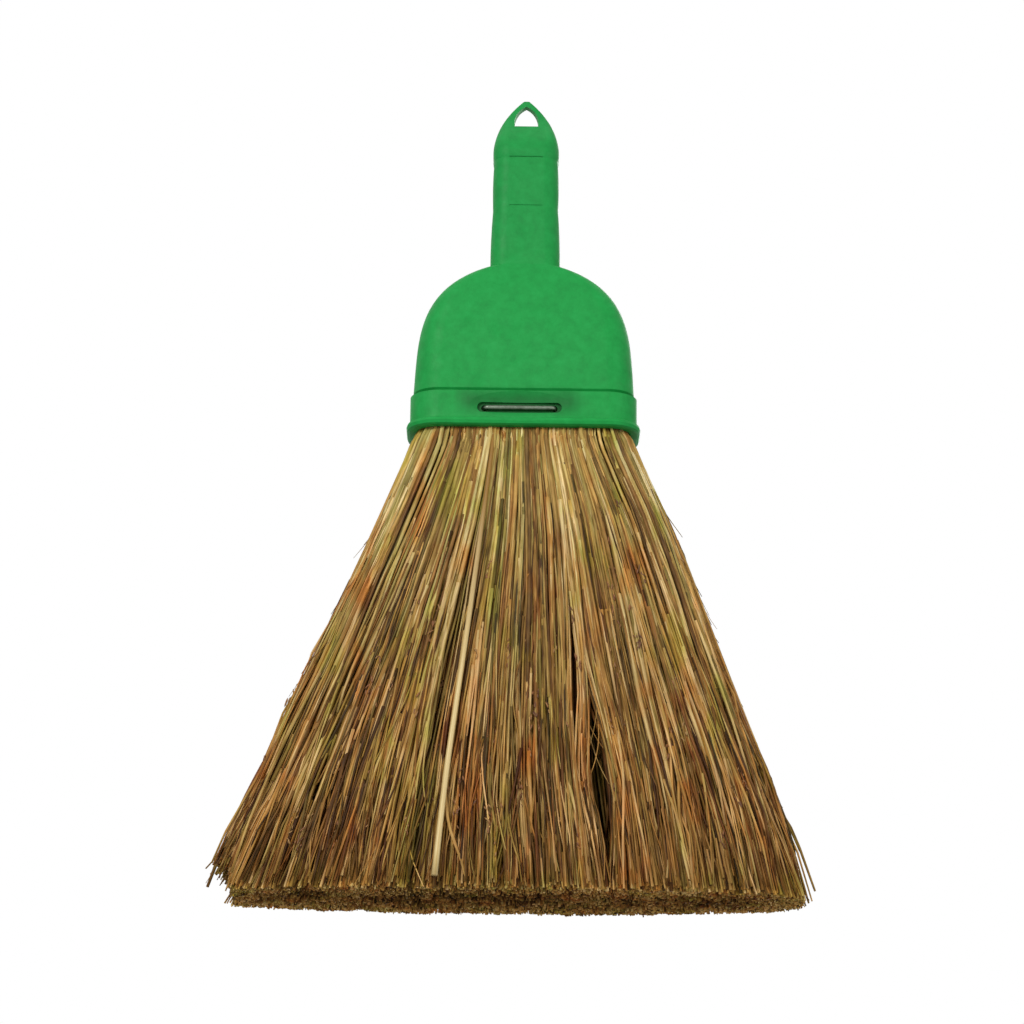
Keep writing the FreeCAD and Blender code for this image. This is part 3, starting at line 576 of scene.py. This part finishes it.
def finishTemplate(bm, name, rings):
    mesh = bpy.data.meshes.new(name)
    bm.to_mesh(mesh)
    bm.free()
    points = np.empty(len(mesh.vertices) * 3)
    mesh.vertices.foreach_get("co", points)
    points = points.reshape(-1, 3)
    strip = np.empty(len(mesh.loops) * 2)
    mesh.uv_layers["OFBake"].uv.foreach_get("vector", strip)
    ring = np.rint(points[:, 2] * (rings - 1)).astype(int) if rings else None
    return {
        "mesh": mesh,
        "points": points,
        "angle": np.arctan2(points[:, 1], points[:, 0]),
        "ring": ring,
        "rings": rings,
        "strip": strip.reshape(-1, 2),
    }


stalkTube = tubeTemplate("stalkTube", 6, 12)
branchTube = tubeTemplate("branchTube", 4, 9)
stubTube = tubeTemplate("stubTube", 4, 4)
seedBall = seedTemplate("seedBall")
stalkSteps = np.array((0, 0.10, 0.165, 0.185, 0.205, 0.24, 0.33, 0.45, 0.58, 0.72, 0.86, 1.0))
branchSteps = np.linspace(0, 1, branchTube["rings"])
stubSteps = np.linspace(0, 1, stubTube["rings"])


# frames along each line of middles: across, aside and ahead
def frames(middles):
    ahead = np.gradient(middles, axis=1)
    ahead /= np.linalg.norm(ahead, axis=-1, keepdims=True)
    across = np.array((1.0, 0.0, 0.0)) - ahead[..., :1] * ahead
    across /= np.linalg.norm(across, axis=-1, keepdims=True)
    return across, np.cross(ahead, across), ahead


def tubePoints(template, middles, radii, spin):
    across, aside, _ = frames(middles)
    ring = template["ring"]
    angle = template["angle"][None, :] + spin[:, None]
    reach = radii[:, ring, None]
    sideways = np.cos(angle)[..., None] * across[:, ring] + np.sin(angle)[..., None] * aside[:, ring]
    return middles[:, ring] + reach * sideways


# how straws gather into clumps and part towards the tips
clump = {
    "perUnit": 8.0,
    "pull": 0.7,
    "start": 0.22,
    "ripples": ((0.05, 5.3, 1.0), (0.022, 13.7, 2.3)),      # size, turns and share of the phase
}
split = {      # the one wide split, down the right of the front
    "place": 0.435,
    "levels": (0.0, 0.006, 0.022, 0.043, 0.061, 0.075, 0.090),
    "halfGap": (0.0015, 0.0018, 0.0026, 0.0045, 0.0029, 0.0012, 0.0),
    "width": 0.016,
    "fade": 3.0,
}
furrow = {      # thin dark furrows between clumps
    "count": 56,
    "halfGap": (0.0004, 0.0011),
    "middle": (0.0, 0.090),
    "reach": (0.012, 0.036),
    "width": 0.0050,
    "fade": 0.09,      # only the outer straws give way
    "places": {"front": (0.0, 1.05), "back": (0.0, 1.05), "shoulder": (0.98, 1.32)},
}


def gathered(place, lengths, phase):
    middle = place[..., 0] + place[..., 1] * 0.4
    uneven = middle
    for size, turn, share in clump["ripples"]:
        uneven = uneven + size * np.sin(turn * middle + share * phase)
    turns = 2 * np.pi * clump["perUnit"]
    pull = clump["pull"] * smoothStep(clump["start"], 1, lengths)
    shift = -pull * np.sin(turns * uneven + 3 * phase) / turns
    moved = place.copy()
    onMiddle = np.abs(place[..., 1]) < 1e-6
    moved[..., 0] += np.where(onMiddle, shift, 0)
    return moved


def newFurrows(kind, seed):
    random = np.random.default_rng(seed)
    furrows = []
    for _ in range(furrow["count"]):
        middle = random.uniform(*furrow["middle"])
        reach = random.uniform(*furrow["reach"])
        turn = np.linspace(-math.pi / 2, math.pi / 2, 9)
        furrows.append({
            "place": random.choice((-1, 1)) * random.uniform(*furrow["places"][kind]),
            "levels": middle + reach * turn,
            "halfGap": random.uniform(*furrow["halfGap"]) * np.cos(turn) ** 2,
            "width": furrow["width"],
            "fade": furrow["fade"],
        })
    return furrows


partings = {
    "front": newFurrows("front", 301) + [split],
    "core": [split],
    "back": newFurrows("back", 302),
    "shoulder": newFurrows("shoulder", 303),
}


def parted(points, depth, kind):
    # each straw moves aside as a whole, so that none crosses the gap
    height = points[..., 2]
    half, deep, lean = fanSize(height)
    for part in partings[kind]:
        offset = points[..., 0] - leftReach((half - deep) * part["place"], height) - lean
        size = np.interp(height, part["levels"], part["halfGap"], left=part["halfGap"][0], right=0)
        size = size * np.exp(-depth[:, None] / part["fade"])
        side = np.sign((offset * size).sum(1, keepdims=True) + 1e-12)
        away = side * offset
        push = size * np.clip(1 - away / part["width"], 0, 1.2)
        points[..., 0] += side * push
    return points


# bunches of straw
bunch = {
    "spacing": 0.00152,      # between stalks at the cap's mouth
    "stalkRadius": (0.00042, 0.00092),
    "stalkTaper": 0.60,
    "fullLength": 0.62,      # share of stalks that reach the trimmed end
    "loose": {"middle": (0.042, 0.0, 0.09), "shoulder": (0.0, 0.08, 0.08)},
    "sway": 0.0009,
    "swayTurns": (4, 15),
    "fillers": {"front": 44, "back": 36, "core": 0, "shoulder": 90},
    "fillerRadius": (0.00026, 0.00050),
    "branches": {"front": 17, "back": 15, "core": 7, "shoulder": 11},
    "branchRadius": (0.00026, 0.00060),
    "branchStart": (0.02, 0.80),
    "branchLoose": {"middle": (0.042, 0.0, 0.14), "shoulder": (0.0, 0.11, 0.11)},
    "branchSway": 0.0021,
    "paleThicker": 1.4,      # the palest branches are also the thickest
    "shortBranches": 0.40,
    "stubs": {"front": 330, "back": 330, "core": 330, "shoulder": 780},
    "stubRadius": (0.00035, 0.00070),
    "stubLength": (0.012, 0.034),
    "hullClusters": {"front": 42, "back": 34, "core": 4, "shoulder": 70},
    "ragged": 0.0005,
    "raggedFront": 0.0026,
    "weave": 0.11,      # how far straws dip under their neighbours, as a share of the depth
    "weaveStart": (0.05, 0.3),
    "crossing": {"stalk": (0.12, 2.6), "branch": (0.10, 2.4)},      # share that crosses, and how far
    "shortTips": (0.030, 0.080),
    "buttLevels": (0.0005, 0.006),
    "knots": {"stalk": 0.06, "branch": 0.08},
    "fewestBranches": 4,
    "fillerBranches": 3,
    "shortLength": (0.02, 0.07),
    "leastLength": 0.02,
    "bendPower": 1.15,
    "stubLoose": {"middle": (0.03, 0.0, 0.10), "shoulder": (0.0, 0.10, 0.10)},
    "stubSway": 0.0004,
    "stubLeast": 0.008,
    # the least painted shade that the stubs get
    "stubLeastShade": 0.12,
}
tint = {      # shares are of all straws; pairs are middle and spread
    "stalk": (0.55, 0.19),
    "darkShare": 0.10,
    "dark": (0.22, 0.08),
    "paleShare": 0.09,
    "pale": (0.92, 0.06),
    "hue": (0.42, 0.34),
    "goldenPlace": (0.47, 0.05),      # a lighter streak right of the split
    "goldenLift": (0.22, 0.3),
    "branch": (-0.02, 0.13),
    "branchDark": (0.22, -0.28),
    "branchPale": (0.80, 0.26),
    "branchHue": 0.15,
    "stub": (-0.05, 0.16),
}


def rounded(turn, reach):
    power = 2 / fan["squareness"]
    across, aside = math.cos(turn), math.sin(turn)
    return reach * abs(across) ** power, math.copysign(reach * abs(aside) ** power, aside)


def roundedReach(across, aside):
    power = fan["squareness"]
    return (np.abs(across) ** power + np.abs(aside) ** power) ** (1 / power)


def stalkPlaces(kind, column, random):
    spacing = bunch["spacing"]
    half, mouthDeep, _ = fanSize(rim)
    mouthStraight = half - mouthDeep
    fillers = bunch["fillers"][kind]
    places = []
    if kind == "shoulder":
        rows = int(mouthDeep / (spacing * 0.92))
        for row in range(rows):
            reach = 1 - row * spacing * 0.92 / mouthDeep
            count = max(1, int(1.15 * math.pi * reach * mouthDeep / spacing))
            for index in range(count):
                out, aside = rounded(math.pi * ((index + 0.5) / count - 0.5), reach)
                places.append((column, column * out, aside))
        for turn in random.uniform(-1.5, 1.5, fillers):
            out, aside = rounded(turn, 0.98)
            places.append((column, column * out, aside))
    else:
        left, right = fan["columnShares"][column:column + 2]
        cell = right - left
        across = int(round(cell * mouthStraight / spacing))
        band = {"front": -1, "core": -1 / 3, "back": 1 / 3}[kind]
        rows = int(round(2 / 3 * mouthDeep / (spacing * 0.9)))
        for row in range(rows):
            deep = band + (row + 0.5) / rows * 2 / 3
            deep = max(-0.99, min(0.99, deep * 1.08))
            for index in range(across):
                shift = 0.25 if row % 2 else 0.75
                places.append((left + cell * (index + shift) / across, 0.0, deep))
        outer = math.copysign(0.97, band)
        for share in random.uniform(-0.06, 1.06, fillers):      # over the seams to the next bunches too
            places.append((left + cell * share, 0.0, outer))
    places = np.array(places)
    places[:, 0] += (places[:, 1] == 0) * random.normal(0, 0.2 * spacing / mouthStraight, len(places))
    inward = np.abs(random.normal(0, 0.10 * spacing / mouthDeep, len(places)))
    places[:, 2] -= np.sign(places[:, 2]) * inward
    return places


def keepInside(place):
    # straws that would leave the fan's surface turn back into it
    onMiddle = np.abs(place[..., 1]) < 1e-6
    deep = place[..., 2]
    deep = np.where(np.abs(deep) > 0.99, np.sign(deep) * (1.98 - np.abs(deep)), deep)
    reach = roundedReach(place[..., 1], place[..., 2])
    shrink = np.where(reach > 1, (2 - reach) / np.maximum(reach, 1e-6), 1)
    inside = place.copy()
    inside[..., 1] = np.where(onMiddle, place[..., 1], place[..., 1] * shrink)
    inside[..., 2] = np.where(onMiddle, deep, place[..., 2] * shrink)
    return inside


def strawLines(origin, goal, leave, top, tip, steps, wave, phase):
    # from origin to goal in the fan, as the share of its length runs from leave to 1
    height = top[:, None] + (tip - top)[:, None] * steps[None, :]
    share = lengthShare(height)
    own = np.clip((share - leave[:, None]) / (1 - leave[:, None]), 0, 1) ** bunch["bendPower"]
    place = keepInside(origin[:, None, :] * (1 - own[..., None]) + goal[:, None, :] * own[..., None])
    sway = wave["size"][:, None] * own
    swing = wave["turns"][:, None] * share
    weave = wave["weave"][:, None] * smoothStep(*bunch["weaveStart"], share)
    dip = weave * (0.5 + 0.5 * np.sin(1.7 * swing + wave["third"][:, None]))
    place[..., 1:] *= 1 - dip[..., None]
    points = fanPlace(gathered(place, share, phase), height)
    points[..., 0] += sway * np.sin(swing + wave["first"][:, None])
    points[..., 1] += 0.6 * sway * np.sin(swing + wave["second"][:, None])
    return points, share, depthOf(place)


def newWave(random, count, size):
    return {
        "size": np.abs(random.normal(0, size, count)),
        "turns": random.uniform(*bunch["swayTurns"], count),
        "first": random.uniform(0, math.tau, count),
        "second": random.uniform(0, math.tau, count),
        "third": random.uniform(0, math.tau, count),
        "weave": np.abs(random.normal(0, bunch["weave"], count)),
    }


def depthOf(place):
    onMiddle = np.abs(place[..., 1]) < 1e-6
    return 1 - np.where(onMiddle, np.abs(place[..., 2]), roundedReach(place[..., 1], place[..., 2]))


def strawTones(random, start, kind):
    count = len(start)
    tone = random.normal(*tint["stalk"], count)
    pick = random.random(count)
    tone = np.where(pick < tint["darkShare"], random.normal(*tint["dark"], count), tone)
    tone = np.where(pick > 1 - tint["paleShare"], random.normal(*tint["pale"], count), tone)
    middle, width = tint["goldenPlace"]
    golden = (kind == "front") * np.exp(-((start[:, 0] - middle) / width) ** 2)
    hue = random.normal(*tint["hue"], count)
    toneLift, hueLift = tint["goldenLift"]
    return np.clip(tone + toneLift * golden, 0, 1), np.clip(hue - hueLift * golden, 0, 1)


def loosened(random, place, loose, crossing):
    # some straws cross their neighbours, and so wander further
    share, far = crossing
    far = np.where(random.random(len(place)) < share, far, 1.0)[:, None]
    return place + random.normal(0, 1, place.shape) * loose * far


def makeBunch(node, kind, column, index):
    random = np.random.default_rng(1000 + index)
    phase = 0.9 * ("front", "core", "back", "shoulder").index(kind) + 0.4
    where = "shoulder" if kind == "shoulder" else "middle"
    start = stalkPlaces(kind, column, random)
    count = len(start)
    crossing = bunch["crossing"]
    end = loosened(random, start, bunch["loose"][where], crossing["stalk"])
    depth = depthOf(start)
    tone, hue = strawTones(random, start, kind)
    full = random.random(count) < bunch["fullLength"]
    tip = np.where(full, raggedTips(random, end), random.uniform(*bunch["shortTips"], count))
    tip = np.maximum(tip, cornerTips(random, end))
    top = butt - random.uniform(*bunch["buttLevels"], count)
    isFiller = np.arange(count) >= count - bunch["fillers"][kind]
    radius = np.where(
        isFiller,
        random.uniform(*bunch["fillerRadius"], count),
        random.uniform(*bunch["stalkRadius"], count),
    )
    wave = newWave(random, count, bunch["sway"])
    middles, share, depthShade = strawLines(start, end, np.zeros(count), top, tip, stalkSteps, wave, phase)
    middles = parted(middles, depth, kind)
    taper = 1 - (1 - bunch["stalkTaper"]) * share ** 0.8
    knots = bunch["knots"]
    stalkRadii = radius[:, None] * taper * (1 + knots["stalk"] * random.normal(0, 1, share.shape))
    blocks = [tubeBlock(stalkTube, middles, stalkRadii, share, tone, hue, depthShade, random)]
    # side branches leave the stalks and run down to the tips
    perStalk = bunch["branches"][kind]
    fewer = np.rint(perStalk * (1.15 - depth)).astype(int)
    fewer = np.maximum(fewer, bunch["fewestBranches"])
    fewer = np.where(isFiller, bunch["fillerBranches"], fewer)
    parent = np.repeat(np.arange(count), fewer)
    many = len(parent)
    leave = random.uniform(*bunch["branchStart"], many)
    branchEnd = loosened(random, end[parent], bunch["branchLoose"][where], crossing["branch"])
    leaveHeight = rim * (1 - leave)
    branchTip = raggedTips(random, branchEnd)
    short = random.random(many) < bunch["shortBranches"]
    branchTip = np.where(short, leaveHeight - random.uniform(*bunch["shortLength"], many), branchTip)
    branchTip = np.minimum(branchTip, leaveHeight - bunch["leastLength"])
    branchTip = np.maximum(branchTip, cornerTips(random, branchEnd))
    bend = leave[:, None] ** bunch["bendPower"]
    origin = start[parent] * (1 - bend) + end[parent] * bend
    branchWave = newWave(random, many, bunch["branchSway"])
    branchMiddles, branchShare, depthShade = strawLines(
        origin, branchEnd, leave, leaveHeight, branchTip, branchSteps, branchWave, phase
    )
    branchMiddles = parted(branchMiddles, depth[parent], kind)
    branchRadius = random.uniform(*bunch["branchRadius"], many)
    thin = 1.15 - 0.55 * branchSteps[None, :]
    uneven = 1 + knots["branch"] * random.normal(0, 1, branchShare.shape)
    branchRadii = branchRadius[:, None] * thin * uneven
    pick = random.random(many)
    lift = random.normal(*tint["branch"], many)
    darkest, darkLift = tint["branchDark"]
    palest, paleLift = tint["branchPale"]
    lift = lift + np.where(pick < darkest, darkLift, 0) + np.where(pick > palest, paleLift, 0)
    branchRadii *= np.where(pick > palest, bunch["paleThicker"], 1)[:, None]
    branchTone = np.clip(tone[parent] + lift, 0, 1)
    branchHue = np.clip(hue[parent] + random.normal(0, tint["branchHue"], many), 0, 1)
    blocks.append(tubeBlock(
        branchTube, branchMiddles, branchRadii, branchShare, branchTone, branchHue, depthShade, random
    ))
    clusters = bunch["hullClusters"][kind]
    blocks.append(hullBlock(clusters, branchMiddles, branchShare, depth[parent], random))
    blocks.append(stubBlock(kind, end, tone, hue, phase, random))
    if kind == "shoulder":
        blocks += strayBlocks(column, random)
    if kind == "front" and fan["columnShares"][column] == split["place"]:
        blocks += bridgeBlocks(random)
    piece = joinBlocks(node.replace("bunch", "straws"), blocks)
    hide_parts(node)
    return piece


def raggedTips(random, place):
    # the front edge of the trimmed end is cut less evenly
    onFront = np.clip((-place[:, 2] - 0.75) / 0.25, 0, 1)
    uneven = bunch["ragged"] + bunch["raggedFront"] * onFront
    return np.abs(random.normal(0, 1, len(place))) * uneven


def cornerTips(random, place):
    # straws past the left corner of the trimmed end are broken off higher up
    corner = fan["corner"]
    out = np.maximum(-fanPlace(keepInside(place), np.zeros(len(place)))[:, 0], corner)
    highest = random.normal(*fan["cornerRise"], len(place))
    return np.maximum(np.minimum((1 - corner / out) / fan["cornerSlope"], highest), 0)


bridge = {      # hairs across the split, and straws deep inside it
    "hairs": 4,
    "hairLevels": (0.040, 0.070),
    "hairReach": (0.0020, 0.0045),
    "hairDrop": (0.018, 0.036),
    "hairPlace": (-0.97, -0.80),
    "hairRadius": 0.00018,
    "hairTone": (0.55, 0.85),
    "deepStraws": 12,
    "deepLevel": 0.052,
    "deepDrop": (0.030, 0.052),
    "deepPlace": (-0.35, -0.10),
    "deepReach": 0.0036,
    "deepDrift": 0.001,
    "deepRadius": 0.00042,
    "deepTone": (0.25, 0.65),
}


def bridgeBlocks(random):
    turn = np.linspace(-1, 1, len(branchSteps))[None, :]
    count = bridge["hairs"]
    side = random.choice((-1, 1), count) * random.uniform(*bridge["hairReach"], count)
    drop = random.uniform(*bridge["hairDrop"], count)
    height = random.uniform(*bridge["hairLevels"], count)[:, None] - 0.5 * drop[:, None] * turn
    deep = random.uniform(*bridge["hairPlace"], count)
    shift = side[:, None] * (turn + 0.5 * turn ** 2 - 0.25)
    hairs = splitLines(height, deep, shift)
    blocks = [evenBlock(hairs, height, bridge["hairRadius"], bridge["hairTone"], random)]
    count = bridge["deepStraws"]
    drop = random.uniform(*bridge["deepDrop"], count)[:, None]
    height = bridge["deepLevel"] - drop * turn
    deep = random.uniform(*bridge["deepPlace"], count)
    shift = random.uniform(-1, 1, count)[:, None] * bridge["deepReach"]
    shift = shift + random.normal(0, bridge["deepDrift"], count)[:, None] * turn
    straws = splitLines(np.maximum(height, 0), deep, shift)
    blocks.append(evenBlock(straws, height, bridge["deepRadius"], bridge["deepTone"], random))
    return blocks


def evenBlock(lines, height, radius, tones, random):
    tone = random.uniform(*tones, len(lines))
    hue = random.random(len(lines))
    radii = np.full(height.shape, radius)
    return tubeBlock(branchTube, lines, radii, lengthShare(height), tone, hue, np.zeros(len(lines)), random)


def splitLines(height, deep, shift):
    place = np.zeros((*height.shape, 3))
    place[..., 0] = split["place"]
    place[..., 2] = deep[:, None]
    lines = fanPlace(place, height)
    lines[..., 0] += shift
    return lines


def stubBlock(kind, ends, tone, hue, phase, random):
    # short lengths fill up the trimmed end between the longer straws
    count = bunch["stubs"][kind]
    parent = random.integers(0, len(ends), count)
    where = "shoulder" if kind == "shoulder" else "middle"
    place = keepInside(ends[parent] + random.normal(0, 1, (count, 3)) * bunch["stubLoose"][where])
    top = random.uniform(*bunch["stubLength"], count)
    tip = np.maximum(raggedTips(random, place), cornerTips(random, place))
    top = np.maximum(top, tip + bunch["stubLeast"])
    wave = newWave(random, count, bunch["stubSway"])
    middles, share, _ = strawLines(place, place, np.zeros(count), top, tip, stubSteps, wave, phase)
    depth = depthOf(place)
    middles = parted(middles, depth, kind)
    radius = random.uniform(*bunch["stubRadius"], count)
    radii = radius[:, None] * (0.55 + 0.45 * stubSteps[None, :])
    tone = np.clip(tone[parent] + random.normal(*tint["stub"], count), 0, 1)
    # stubs always get some painted shade
    depthShade = np.maximum(depth, bunch["stubLeastShade"])
    return tubeBlock(stubTube, middles, radii, share, tone, hue[parent], depthShade, random)


# straws that hang loose at the two ends of the fan: radius, then places down the straw in millimetres
stray = {
    "lines": {
        -1: (
            (0.0011, (-91.5, 4, 60), (-100.5, 3, 42), (-108.8, 1, 22.5), (-114.9, 0, 4)),
            (0.0009, (-89, 0, 60), (-98.5, 0, 40), (-106.5, 0, 22), (-111.8, 0, 8.5)),
            (0.0008, (-90, 6, 52), (-98, 6, 34), (-104.5, 4, 18), (-108.5, 0, 8)),
            (0.0010, (-95, 12, 36), (-100, 12, 24), (-103.5, 12, 12), (-106.2, 0, 0.4)),
        ),
        1: (
            (0.0008, (83, 0, 66), (91.5, -1, 44), (102.2, 0, 26.5), (109.5, 0, 5)),
            (0.0007, (84, -4, 62), (93, -3, 41), (100, -2, 29), (104, 0, 20)),
        ),
    },
    "tone": {-1: 0.28, 1: 0.50},
    "hueLift": 0.2,
    "hairs": 40,
    "hairRadius": (0.00016, 0.00028),
    "hairReach": (0.0008, 0.0032),
    "hairTurn": 0.9,
    "hairRoot": 0.97,
    "hairShares": (0.12, 0.86),      # how far down the fan they start
    "hairDrop": (0.008, 0.022),
    "hairEnd": 0.002,
    "hairSway": 0.001,
    "hairTone": (0.15, 0.6),
}
thinning = 1.1 - 0.6 * branchSteps      # loose straws taper to their tips


def strayBlocks(side, random):
    lines, radii = [], []
    for radius, *corners in stray["lines"][side]:
        corners = np.array(corners) / 1000
        along = np.linspace(0, 1, len(corners))
        axes = [np.interp(branchSteps, along, corners[:, axis]) for axis in range(3)]
        lines.append(np.stack(axes, -1))
        radii.append(radius * thinning)
    lines = np.array(lines)
    share = lengthShare(lines[..., 2])
    tone = np.full(len(lines), stray["tone"][side])
    hue = tone + stray["hueLift"]
    blocks = [tubeBlock(branchTube, lines, np.array(radii), share, tone, hue, np.zeros(len(lines)), random)]
    # short hairs stand off the edge of the fan
    count = stray["hairs"]
    turns = random.uniform(-stray["hairTurn"], stray["hairTurn"], count)
    edge = [rounded(turn, stray["hairRoot"]) for turn in turns]
    root = np.array([(side, side * out, aside) for out, aside in edge])
    top = rim * (1 - random.uniform(*stray["hairShares"], count))
    drop = random.uniform(*stray["hairDrop"], count)
    tip = np.maximum(top - drop, stray["hairEnd"])
    height = top[:, None] + (tip - top)[:, None] * branchSteps[None, :]
    hairs = fanPlace(np.repeat(root[:, None, :], len(branchSteps), 1), height)
    reach = random.uniform(*stray["hairReach"], count)
    hairs[..., 0] += side * reach[:, None] * branchSteps[None, :] ** 1.6
    hairs[..., 1] += random.normal(0, stray["hairSway"], count)[:, None] * branchSteps[None, :]
    thick = random.uniform(*stray["hairRadius"], count)[:, None] * thinning[None, :]
    tone = random.uniform(*stray["hairTone"], count)
    hue = random.random(count)
    share = lengthShare(height)
    blocks.append(tubeBlock(branchTube, hairs, thick, share, tone, hue, np.zeros(count), random))
    return blocks


def tubeBlock(template, middles, radii, share, tone, hue, depth, random):
    count = len(middles)
    spin = random.uniform(0, math.tau, count)
    points = tubePoints(template, middles, radii, spin)
    ring = template["ring"]
    if depth.ndim == 1:
        depth = np.repeat(depth[:, None], template["rings"], 1)
    angle = template["angle"][None, :]
    run = middles[:, ring, 2]
    grain = np.stack([np.cos(angle) * radii[:, ring], np.sin(angle) * radii[:, ring], run], -1)
    grain += random.uniform(0, 9, (count, 1, 3))
    return {
        "template": template,
        "count": count,
        "points": points,
        "grain": grain,
        "along": share[:, ring],
        "tone": np.repeat(tone[:, None], len(ring), 1),
        "hue": np.repeat(hue[:, None], len(ring), 1),
        "depth": depth[:, ring],
        "material": 0,
    }


husk = {
    "perCluster": (6, 20),
    "fade": 0.2,      # few on the inner straws
    "scatter": 0.0005,
    "tilt": (0.35, 0.2),
    "size": (0.00020, 0.00042),
    "stretch": (2.2, 5.0),
    "toneSpread": 0.15,
}


def hullBlock(clusters, middles, share, depth, random):
    # husks sit in clusters along the outer side branches
    likely = np.exp(-depth / husk["fade"]) * (0.3 + share[:, -2])
    branch = random.choice(len(middles), clusters, p=likely / likely.sum())
    owner = np.repeat(np.arange(clusters), random.integers(*husk["perCluster"], clusters))
    count = len(owner)
    line = branch[owner]
    first = random.integers(1, middles.shape[1] - 2, clusters)[owner]
    across, aside, ahead = (axis[np.arange(count), first] for axis in frames(middles[line]))
    part = random.random(count)[:, None]
    place = middles[line, first] * (1 - part) + middles[line, first + 1] * part
    shift = random.normal(0, husk["scatter"], (count, 2))
    place += shift[:, :1] * across + shift[:, 1:] * aside
    tilts = husk["tilt"]
    ahead = ahead + tilts[0] * random.normal(0, 1, (count, 1)) * across
    ahead = ahead + tilts[1] * random.normal(0, 1, (count, 1)) * aside
    size = random.uniform(*husk["size"], count)[:, None, None]
    length = size * random.uniform(*husk["stretch"], count)[:, None, None]
    ball = seedBall["points"][None]
    points = place[:, None, :] + size * (
        ball[..., :1] * across[:, None, :] + ball[..., 1:2] * aside[:, None, :]
    ) + length * ball[..., 2:] * ahead[:, None, :]
    corners = len(seedBall["points"])
    tone = random.random(clusters)[owner] + random.normal(0, husk["toneSpread"], count)
    tone = np.clip(tone, 0, 1)
    return {
        "template": seedBall,
        "count": count,
        "points": points,
        "grain": points + random.uniform(0, 9, (count, 1, 3)),
        "along": np.repeat(share[line, first][:, None], corners, 1),
        "tone": np.repeat(tone[:, None], corners, 1),
        "hue": np.zeros((count, corners)),
        "depth": np.repeat(depth[line][:, None], corners, 1),
        "material": 1,
    }


def joinBlocks(name, blocks):
    bm = bmesh.new()
    for block in blocks:
        for _ in range(block["count"]):
            bm.from_mesh(block["template"]["mesh"])
    mesh = bpy.data.meshes.new(name)
    bm.to_mesh(mesh)
    bm.free()

    def flat(key):
        return np.concatenate([block[key].ravel() for block in blocks]).astype(np.float32)

    mesh.vertices.foreach_set("co", flat("points"))
    mesh.attributes.new("grain", "FLOAT_VECTOR", "POINT").data.foreach_set("vector", flat("grain"))
    names = {"along": "along", "tone": "strawTone", "hue": "strawHue", "depth": "depth"}
    for key, attribute in names.items():
        mesh.attributes.new(attribute, "FLOAT", "POINT").data.foreach_set("value", flat(key))
    slots = []
    for block in blocks:
        faces = block["count"] * len(block["template"]["mesh"].polygons)
        slots.append(np.full(faces, block["material"], np.int32))
    mesh.polygons.foreach_set("material_index", np.concatenate(slots))
    mesh.uv_layers["OFBake"].uv.foreach_set("vector", stripMap(blocks).astype(np.float32).ravel())
    mesh.materials.append(strawMaterial)
    mesh.materials.append(hullMaterial)
    mesh.update()
    piece = bpy.data.objects.new(name, mesh)
    scene.collection.objects.link(piece)
    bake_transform(piece)
    return piece


# every straw gets a tile of its own on the map
def stripMap(blocks):
    total = sum(block["count"] for block in blocks)
    wide = math.ceil(math.sqrt(4 * total))
    high = math.ceil(total / wide)
    tile = np.array((1 / wide, 1 / high))
    first = 0
    maps = []
    for block in blocks:
        own = np.arange(first, first + block["count"])
        corner = np.stack([own % wide, own // wide], -1) * tile
        strip = 0.06 + 0.88 * block["template"]["strip"]
        maps.append((corner[:, None, :] + strip[None] * tile).reshape(-1, 2))
        first += block["count"]
    return np.concatenate(maps)


pieceIndex = 0
for layer in ("front", "core", "back"):
    for column in range(len(fan["columnShares"]) - 1):
        makeBunch(f"{layer}_bunch_{column + 1}", layer, column, pieceIndex)
        pieceIndex += 1
    print(layer, "straws are planted")
for side, name in ((-1, "left"), (1, "right")):
    makeBunch(f"{name}_shoulder_bunch", "shoulder", side, pieceIndex)
    pieceIndex += 1
print("shoulder straws are planted")


# the one thick pale straw on the front
reed = {
    "levels": (0.0, 0.045, 0.175),
    "offset": (-0.0306, -0.0264, -0.0113),
    "radius": (0.0008, 0.0012),
    "top": rim + 0.018,
    "tip": 0.004,
    "proud": 0.0009,
    "proudStart": (0.10, 0.30),
    "sway": 0.0005,
    "tone": 0.9,
    "seed": 77,
}


def makeReed():
    template = tubeTemplate("reedTube", 10, 22)
    steps = np.linspace(0, 1, template["rings"])
    height = reed["top"] + (reed["tip"] - reed["top"]) * steps
    share = lengthShare(height)
    half, deep, _ = fanSize(height)
    radius = np.interp(share, (0, 1), reed["radius"])
    x = np.interp(height, reed["levels"], reed["offset"])
    x += reed["sway"] * np.sin(5 * share + 0.6) * share
    lens = lensShare(x / half, share)
    y = -(deep * lens + reed["proud"] * smoothStep(*reed["proudStart"], share))
    middles = np.stack([x, y, height], -1)[None]
    random = np.random.default_rng(reed["seed"])
    tone = np.array((reed["tone"],))
    none = np.zeros(1)
    block = tubeBlock(template, middles, radius[None], share[None], tone, none, none, random)
    piece = joinBlocks("pale_reed_straw", [block])
    piece.data.materials.clear()
    piece.data.materials.append(reedMaterial)
    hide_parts("pale_reed")


makeReed()
print("pale reed is laid")
